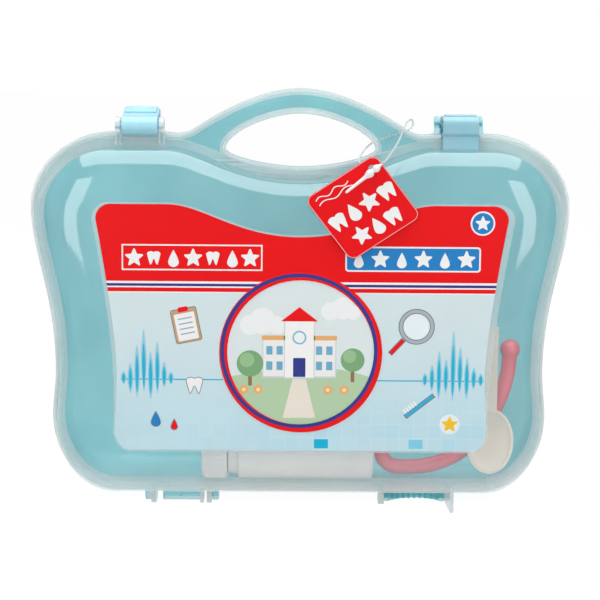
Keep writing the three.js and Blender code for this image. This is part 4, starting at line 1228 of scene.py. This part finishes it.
class CASE_OT_strand(PieceOperator, bpy.types.Operator):
    """Add the beaded strand round the handle and its lock"""

    bl_idname = "doctor_case.strand"
    bl_label = "Strand and Lock"

    def execute(self, context):
        points = strand_points()
        line = bpy.data.curves.new("tag_strand", "CURVE")
        line.dimensions = "3D"
        spline = line.splines.new("POLY")
        spline.points.add(len(points) - 1)
        for spot, p in zip(spline.points, points):
            spot.co = (*p, 1)
        line.bevel_depth = 0.25 * MM
        line.bevel_resolution = 3
        line.use_fill_caps = True
        strand = added("tag_strand", line)
        beaded = nylon("clear_nylon", 0.65, 0.3)
        line.materials.append(nylon("clear_thread", 0.2, 0.1))

        bare = line.copy()
        bare.bevel_depth = 0
        thread = added("thread", bare)
        beads = bead_growth().grow(thread, {
            "Spacing": self.sizes.bead_spacing, "Radius": self.sizes.bead_radius, "Material": beaded})
        bpy.data.objects.remove(thread)
        beads.name = beads.data.name = "strand_beads"
        beads.data.shade_smooth()

        lock = self.lock()
        for piece in (strand, beads):
            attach(piece, "front_cover")
        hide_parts("tag_loop")
        length = sum((b - a).length for a, b in zip(points, points[1:]))
        return {"FINISHED"}

    def lock(self):
        """The strand's lock, a thin rod with a notched head, lying on the tag."""
        profile = [(0.25, 0), (0.55, 0.35), (0.7, 1.0), (0.75, 6), (0.85, 10), (1.0, 12.2), (1.5, 13.2),
                   (1.95, 14.2), (2.0, 15), (1.7, 16), (1.15, 16.5), (1.2, 17.2), (1.8, 17.9), (1.9, 18.8),
                   (1.5, 19.9), (0.9, 20.5), (0.75, 21.2), (0.4, 21.5)]
        along = (math.cos(LOCK_TURN), 0, math.sin(LOCK_TURN))
        lock = lathe("lock", profile, (LOCK_TIP[0], -TAG_FACE - 2.35, LOCK_TIP[1]), along, 28)
        finish = solid_plastic("lock_plastic", (0.85, 0.87, 0.88), (0.78, 0.81, 0.83), 0.3, 0.004)
        return place(lock, "strand_lock", "front_cover", "strand_plastic", finish, "tag_lock", angle=60)


class CASE_OT_half_shells(PieceOperator, bpy.types.Operator):
    """Add the milky front cover and the blue back shell"""

    bl_idname = "doctor_case.half_shells"
    bl_label = "Half Shells"

    def execute(self, context):
        milky = see_through_plastic("milky_plastic", self.colours.cover, (0.83, 0.87, 0.87))
        blue = see_through_plastic("blue_plastic", self.colours.shell, (0.15, 0.68, 0.745))
        extras = [lug(-HINGE_X + THIRD_EAR_OFFSET, THIRD_EAR)]
        cover = half_shell("cover", self.sizes, extras, [strand_groove()])
        set_haze(cover, self.sizes, COVER_HAZE)
        place(cover, "cover_moulding", "front_cover", "cover_plastic", milky, "front_cover")

        middle = (BLOCK_START + BLOCK_END) / 2
        extras = [hinge_web(), lug(HINGE_X - middle, BLOCK_END - BLOCK_START)]
        shell = half_shell("shell", self.sizes, extras, [])
        hole = lathe("drill", [(0.8, 0), (0.8, 3.5)], (HINGE_X - middle, 0.5, HINGE_Z), (0, 1, 0))
        carve(shell, [hole], "DIFFERENCE")
        set_haze(shell, self.sizes, SHELL_HAZE)
        place(shell, "shell_moulding", "back_shell", "shell_plastic", blue, "back_shell", turn=True)
        self.web_ribs(blue)
        return {"FINISHED"}

    def web_ribs(self, finish):
        """Short upright ribs along the front of the bar between the inner ears."""
        radius, length = WEB_RIB_RADIUS, WEB_RIB_LENGTH
        profile = [(radius - 0.25, 0), (radius, 0.2), (radius, length - 0.2), (radius - 0.25, length)]
        rib = lathe("rib", profile, (0, 0, 0), (0, 0, 1), 12)
        spacing = 2 * NARROW_EAR_OFFSET / (WEB_RIBS + 1)
        start = (-HINGE_X - NARROW_EAR_OFFSET + spacing, 1.75, HINGE_Z - 1)
        ribs = row_growth().grow(rib, {
            "Count": WEB_RIBS, "Start": start, "Step": (spacing, 0, 0), "Material": finish})
        bpy.data.objects.remove(rib)
        even(ribs, haze=0.7, gloss=0.6)
        place(ribs, "hinge_web_ribs", "back_shell", "shell_plastic", finish, turn=True)


class CASE_OT_latches(PieceOperator, bpy.types.Operator):
    """Add the two snap latches on the shoulders"""

    bl_idname = "doctor_case.latches"
    bl_label = "Latches"

    def execute(self, context):
        # The right latch's finish is a darker copy of the same plastic: painted shade, as it catches less
        # light than the left latch.
        light, dark = self.colours.latch, self.colours.latch * 0.7
        finish = solid_plastic("latch_plastic", light, (0.33, 0.66, 0.79), 0.3, 0.012)
        painted_shade_finish = solid_plastic("latch_plastic_painted_shade", dark, (0.23, 0.5, 0.6), 0.3, 0.012)
        place(self.latch(LEFT_LATCH_TOP_Z, finish), "latch_left_moulding", "latch_left", "latch_plastic",
              finish, "latch_left")
        place(self.latch(RIGHT_LATCH_TOP_Z, painted_shade_finish), "latch_right_moulding", "latch_right", "latch_plastic",
              painted_shade_finish, "latch_right", turn=True)
        return {"FINISHED"}

    def latch(self, top_z, finish):
        """Snap latch on the left shoulder, closed: barrel, plate over the rim and hook behind it."""
        left, right = -LATCH_X - LATCH_WIDTH / 2 + LATCH_SLACK, -LATCH_X + LATCH_WIDTH / 2 - LATCH_SLACK
        corner, inner, outer = CLAW_REACH - CLAW_ROUND, CLAW_REACH - CLAW_WALL, CLAW_REACH - 0.8
        tail, shelf = TAIL_Y, CLAW_SHELF_Z

        def top(y):
            return mix(PIVOT_Z + BARREL_RADIUS, top_z, (y - PIVOT_Y) / (corner - PIVOT_Y))

        outline = [
            (PIVOT_Y, top(PIVOT_Y) - LATCH_PLATE), (corner - 1.3, top(corner) - LATCH_PLATE),
            (inner, top(corner) - CLAW_ROUND - 1.3), (inner, shelf + 1.8), (tail, shelf + 1.8),
            (tail, TAIL_FOOT_Z), (tail + TAIL_WALL, TAIL_FOOT_Z), (tail + TAIL_WALL, shelf),
            (inner + 0.6, shelf), (inner + 0.6, CLAW_FOOT_Z), (outer, CLAW_FOOT_Z), (outer, shelf + 0.2),
            (CLAW_REACH, shelf + 1.3), *arc((corner, top(corner) - CLAW_ROUND), CLAW_ROUND, 0, 90, 12),
            (PIVOT_Y, top(PIVOT_Y)),
        ]
        body = side_slab("latch", outline, left, right, 0.5)
        barrel = bar("barrel", BARREL_RADIUS, left, right, PIVOT_Y, PIVOT_Z, 0.5, 56)
        pin = bar("pin", LATCH_PIN_RADIUS, left - LATCH_PIN_REACH, right + LATCH_PIN_REACH,
                  PIVOT_Y, PIVOT_Z, 0.3, 24)
        carve(body, [barrel, pin], "UNION")
        length, start = LATCH_WIDTH - 2 * RIDGE_END, left + (RIDGE_END - LATCH_SLACK)
        profile = [(0.45, 0), (RIDGE_RADIUS, 0.25), (RIDGE_RADIUS, length - 0.25), (0.45, length)]
        ridge = lathe("ridge", profile, (start, 0, 0), (1, 0, 0), 16)
        slope = top(0) - top(-1)
        grown = []
        for y, lift in ((corner, -0.02), (corner - RIDGE_SPACING / 2, 0.05)):
            grown.append(row_growth().grow(ridge, {
                "Count": RIDGE_COUNT, "Start": (0, y, top(y) + lift),
                "Step": (0, -RIDGE_SPACING, -RIDGE_SPACING * slope), "Material": finish}))
        bpy.data.objects.remove(ridge)
        ridges, grooves = grown
        carve(body, [grooves], "DIFFERENCE")
        return carve(body, [ridges], "UNION")


class CASE_OT_label(PieceOperator, bpy.types.Operator):
    """Add the printed label on the cover's face"""

    bl_idname = "doctor_case.label"
    bl_label = "Label"

    def execute(self, context):
        film = slab("film", label_outline(), LABEL_BACK, LABEL_FACE)
        place(film, "label_film", "front_cover", "label_print", label_film(self.colours), "cover_label")
        # Milky film border round the print: partly a clear film edge, made milky and wider above as a
        # painted highlight.
        highlight_border = slab("highlight_border", highlight_border_outline(), LABEL_BACK, LABEL_BACK + 0.12)
        inside = slab("inside", inset(label_outline(), -0.02), LABEL_BACK - OVERRUN, LABEL_FACE)
        carve(highlight_border, [inside], "DIFFERENCE")
        even(highlight_border, haze=0.32, gloss=0.5)
        place(highlight_border, "label_highlight_border", "front_cover", "label_print", bpy.data.materials["milky_plastic"])
        art = Print(LABEL_FACE)
        self.head(art)
        self.field(art)
        draw_icons(art, self.colours)
        draw_picture(art, self.colours)
        art.ring((0.75, 77.7), 39.7, 35.8, self.colours.print_red, 9)
        art.ring((-0.05, 78.5), 38.3, 36.5, self.colours.print_navy, 10)
        prints = art.mesh("label_art")
        place(prints, "label_art", "front_cover", "label_print", printed_ink("label_ink", 0.3))
        return {"FINISHED"}

    def field(self, art):
        """Level bars on their line and two small marks at the foot."""
        cyan = self.colours.print_cyan
        art.line([(-61, BARS_Z), (-37, BARS_Z)], 0.6, cyan)
        art.line([(37, BARS_Z), (60.2, BARS_Z)], 0.6, cyan)
        level_bars(art, LEFT_BARS, -85.6, 3.3, cyan)
        level_bars(art, RIGHT_BARS, 61.5, 3.4, cyan)
        for x, tone in ((11, (0.01, 0.44, 0.68)), (57.5, (0.22, 0.62, 0.80))):
            art.ink(rounded_box((x, 32.3), (6.9, 4.6), 0.2), tone)

    def head(self, art):
        """Rows of stars, teeth and drops, and a star badge at the corner."""
        blue = self.colours.print_blue
        art.frame((-52, 124.25), (68, 12.7), 0.3, 0.7, WHITE)
        row = ((star, 124, 4.5), (tooth, 124.6, 5.3), (drop, 123.4, 4.8))
        for i, x in enumerate((-80, -70.5, -61, -51.5, -42, -32.5, -24)):
            shape, z, size = row[i % 3]
            art.ink(shape((x, z), size), WHITE)
        art.ink(rounded_box((54.7, 124), (65.4, 12.3), 1.6), WHITE)
        art.ink(rounded_box((54.7, 124), (63.8, 10.7), 1), blue, 1)
        for i in range(6):
            shape, z = (star, 123.9) if i % 2 else (drop, 123.2)
            art.ink(shape((28.5 + 10.4 * i, z), 4.4), WHITE, 2)
        art.disc((88, 141.7), 5.9, WHITE)
        art.disc((88, 141.7), 5.1, blue, 1)
        art.ink(star((88, 141.6), 3.6), WHITE, 2)


class CASE_OT_hang_tag(PieceOperator, bpy.types.Operator):
    """Add the red hang tag"""

    bl_idname = "doctor_case.hang_tag"
    bl_label = "Hang Tag"

    def execute(self, context):
        card = slab("card", on_tag(rounded_box(TAG_CENTRE, TAG_SIZE, 4, 8)), TAG_BACK, TAG_FACE, 0.08)
        hole = arc(TAG_HOLE, TAG_HOLE_RADIUS, 0, 360, 32)[1:]
        carve(card, [slab("punch", hole, TAG_BACK - OVERRUN, TAG_FACE + OVERRUN)], "DIFFERENCE")
        paint = Paint("tag_card")
        fibre = paint.noise(0.0005)
        tone = paint.blend(paint.noise(0.01, 2), self.colours.print_red, (0.76, 0.004, 0.010))
        coated = paint.plastic(tone, 0.34 + 0.1 * fibre, 0.1, Normal=paint.bump(fibre, 0.00002))
        place(card, "tag_board", "hang_tag", "tag_card", paint.finish(coated), "hang_tag", angle=30)
        art = Print(TAG_FACE)
        (x, z), (width, height) = TAG_CENTRE, TAG_SIZE
        edge = on_tag(rounded_box(TAG_CENTRE, (width - 0.3, height - 0.3), 3.9, 8))
        inner = on_tag(rounded_box(TAG_CENTRE, (width - 0.9, height - 0.9), 3.6, 8))
        art.ink(edge, (0.85, 0.45, 0.45), 0, [inner])
        marks = [
            tooth((x - 13.4, z + 1.2), 6.8), drop((x - 4.8, z + 0.4), 5.4), star((x + 4.3, z + 1), 5),
            tooth((x + 14, z + 1.2), 6.8), star((x - 8.2, z - 11), 4.8), drop((x + 0.6, z - 11.6), 5.2),
            tooth((x + 9.2, z - 10.9), 6.6),
        ]
        for mark in marks:
            art.ink(on_tag(mark), WHITE)
        for rise, reach in ((12.4, 24), (15.2, 18)):
            wave = []
            for i in range(41):
                wave.append((x - 16 + reach * i / 40, z + rise + 0.9 * math.sin(i / 10 * math.pi)))
            art.line(on_tag(wave), 0.5, WHITE)
        prints = art.mesh("tag_art")
        place(prints, "tag_art", "hang_tag", "tag_card", printed_ink("tag_ink", 0.35))
        return {"FINISHED"}


class CASE_OT_bottle(PieceOperator, bpy.types.Operator):
    """Add the white bottle and its cap on the case's floor"""

    bl_idname = "doctor_case.bottle"
    bl_label = "Bottle"

    def execute(self, context):
        low, high = plain_box("bottle")
        y, z = (low.y + high.y) / 2, (low.z + high.z) / 2
        length, r = high.x - low.x, (high.z - low.z) / 2
        neck = 4.7
        profile = [
            (6, 0), (10.3, 0), (10.5, 0.2), (10.5, neck - 0.4), (10.9, neck), (r - 1.6, neck + 0.1),
            (r - 0.5, neck + 0.5), (r - 0.08, neck + 1.3), (r, neck + 2.2), (r, length - 2.4),
            (r - 0.12, length - 1.4), (r - 0.6, length - 0.5), (r - 1.6, length - 0.08), (r - 3.2, length),
            (r - 4.5, length - 0.6), (3, length - 0.8),
        ]
        bottle = lathe("bottle", profile, (low.x, y, z), (1, 0, 0), 72)
        white = solid_plastic("bottle_plastic", self.colours.toy_white, (0.85, 0.82, 0.80), 0.38, 0.03)
        place(bottle, "bottle_body", "back_shell", "toy_white", white, "bottle", angle=50)
        low, high = plain_box("bottle_cap")
        length, r = high.x - low.x, (high.z - low.z) / 2 - 0.25
        profile = [
            (6, 0.5), (r - 2.4, 0.5), (r - 2, 0), (r - 1.2, 0.05), (r - 0.4, 0.5), (r, 1.3),
            (r, length - 0.5), (r - 0.3, length - 0.1), (r - 0.6, length), (10.7, length),
            (10.7, length - 1),
        ]
        cap = lathe("cap", profile, (low.x, y, z), (1, 0, 0), 72)
        rib = lathe("rib", [(0.05, 0), (0.25, 0.4), (0.25, 9.2), (0.05, 9.8)], (0, 0, 0), (1, 0, 0), 6)
        ribs = wheel_growth().grow(rib, {
            "Count": 60, "Radius": r, "Centre": (low.x + 1.6, y, z), "Material": white})
        bpy.data.objects.remove(rib)
        cap = together("cap", [cap, ribs])
        place(cap, "bottle_cap_moulding", "back_shell", "toy_white", white, "bottle_cap", angle=50)
        return {"FINISHED"}


class CASE_OT_spoon(PieceOperator, bpy.types.Operator):
    """Add the toy medicine spoon at the right end"""

    bl_idname = "doctor_case.spoon"
    bl_label = "Spoon"

    def execute(self, context):
        low, high = plain_box("medicine_spoon")
        x, face = (low.x + high.x) / 2, -7
        half, height, depth, wall = 12, 17, 4, 1.4
        lift = 2.5
        middle = low.z + lift + height
        bowls = []
        for name, less in (("bowl", 0), ("hollow", wall)):
            mesh = bpy.data.meshes.new(name)
            with editing(mesh) as shape:
                bmesh.ops.create_uvsphere(shape, u_segments=40, v_segments=28, radius=1)
            size = Matrix.Diagonal((half - less, depth - less, height - less, 1))
            mesh.transform(Matrix.Translation((x, face, middle)) @ size)
            bowls.append(added(name, mesh))
        outer, hollow = bowls
        front = block("open", (x - 14, face - 6, middle - 19), (x + 14, face, middle + 19))
        carve(outer, [front], "DIFFERENCE")
        foot = middle + height - 2 * wall
        handle = block("handle", (x - 3.25, face, foot), (x + 3.25, face + 1.8, foot + 45), 0.5)
        rib = block("rib", (x - 0.6, face + 0.9, foot + 1), (x + 0.6, face + 2.6, foot + 40), 0.25)
        carve(outer, [handle, rib], "UNION")
        carve(outer, [hollow], "DIFFERENCE")
        cream = solid_plastic("spoon_plastic", self.colours.toy_cream, (0.80, 0.70, 0.60), 0.35, 0.02)
        place(outer, "spoon_moulding", "back_shell", "toy_white", cream, "medicine_spoon", angle=40)
        return {"FINISHED"}


class CASE_OT_stethoscope(PieceOperator, bpy.types.Operator):
    """Add the red stethoscope frame at the lower right"""

    bl_idname = "doctor_case.stethoscope"
    bl_label = "Stethoscope Frame"

    def execute(self, context):
        red = solid_plastic("stethoscope_plastic", self.colours.toy_red, (0.85, 0.14, 0.19), 0.28, 0.02)
        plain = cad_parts["stethoscope_frame"]
        tube = added("tube", plain.data.copy())
        tube.data.transform(INTO_ROW_FRAME.inverted() @ plain.matrix_world)
        with editing(tube.data) as shape:
            bmesh.ops.remove_doubles(shape, verts=shape.verts, dist=0.001)
            shape.normal_update()
            for vert in shape.verts:
                vert.co += vert.normal * TUBE_EXTRA + Vector((0, 0, 0.9 * TUBE_EXTRA))
        tube.modifiers.new("round", "SUBSURF").levels = 1
        tube.data = plain_mesh(tube)
        place(tube, "stethoscope_moulding", "back_shell", "toy_red", red, "stethoscope_frame", angle=60)
        return {"FINISHED"}


class CASE_PT_pieces(bpy.types.Panel):
    """Lists the pieces of the case in the sidebar"""

    bl_idname = "CASE_PT_pieces"
    bl_label = "Doctor Case"
    bl_space_type = "VIEW_3D"
    bl_region_type = "UI"
    bl_category = "Doctor Case"

    def draw(self, context):
        for operator in OPERATORS:
            self.layout.operator(operator.bl_idname)
        for group in (context.scene.doctor_case_sizes, context.scene.doctor_case_colours):
            box = self.layout.box()
            for name in group.__annotations__:
                box.prop(group, name)


OPERATORS = (CASE_OT_studio, CASE_OT_strand, CASE_OT_half_shells, CASE_OT_latches, CASE_OT_label,
             CASE_OT_hang_tag, CASE_OT_bottle, CASE_OT_spoon, CASE_OT_stethoscope)
CLASSES = (CaseSizes, CaseColours, *OPERATORS, CASE_PT_pieces)


def register():
    for made in CLASSES:
        bpy.utils.register_class(made)
    bpy.types.Scene.doctor_case_sizes = bpy.props.PointerProperty(type=CaseSizes)
    bpy.types.Scene.doctor_case_colours = bpy.props.PointerProperty(type=CaseColours)


def unregister():
    del bpy.types.Scene.doctor_case_colours
    del bpy.types.Scene.doctor_case_sizes
    for made in reversed(CLASSES):
        bpy.utils.unregister_class(made)


def main():
    register()
    for operator in OPERATORS:
        group, name = operator.bl_idname.split(".")
        getattr(getattr(bpy.ops, group), name)()


if __name__ == "__main__":
    main()
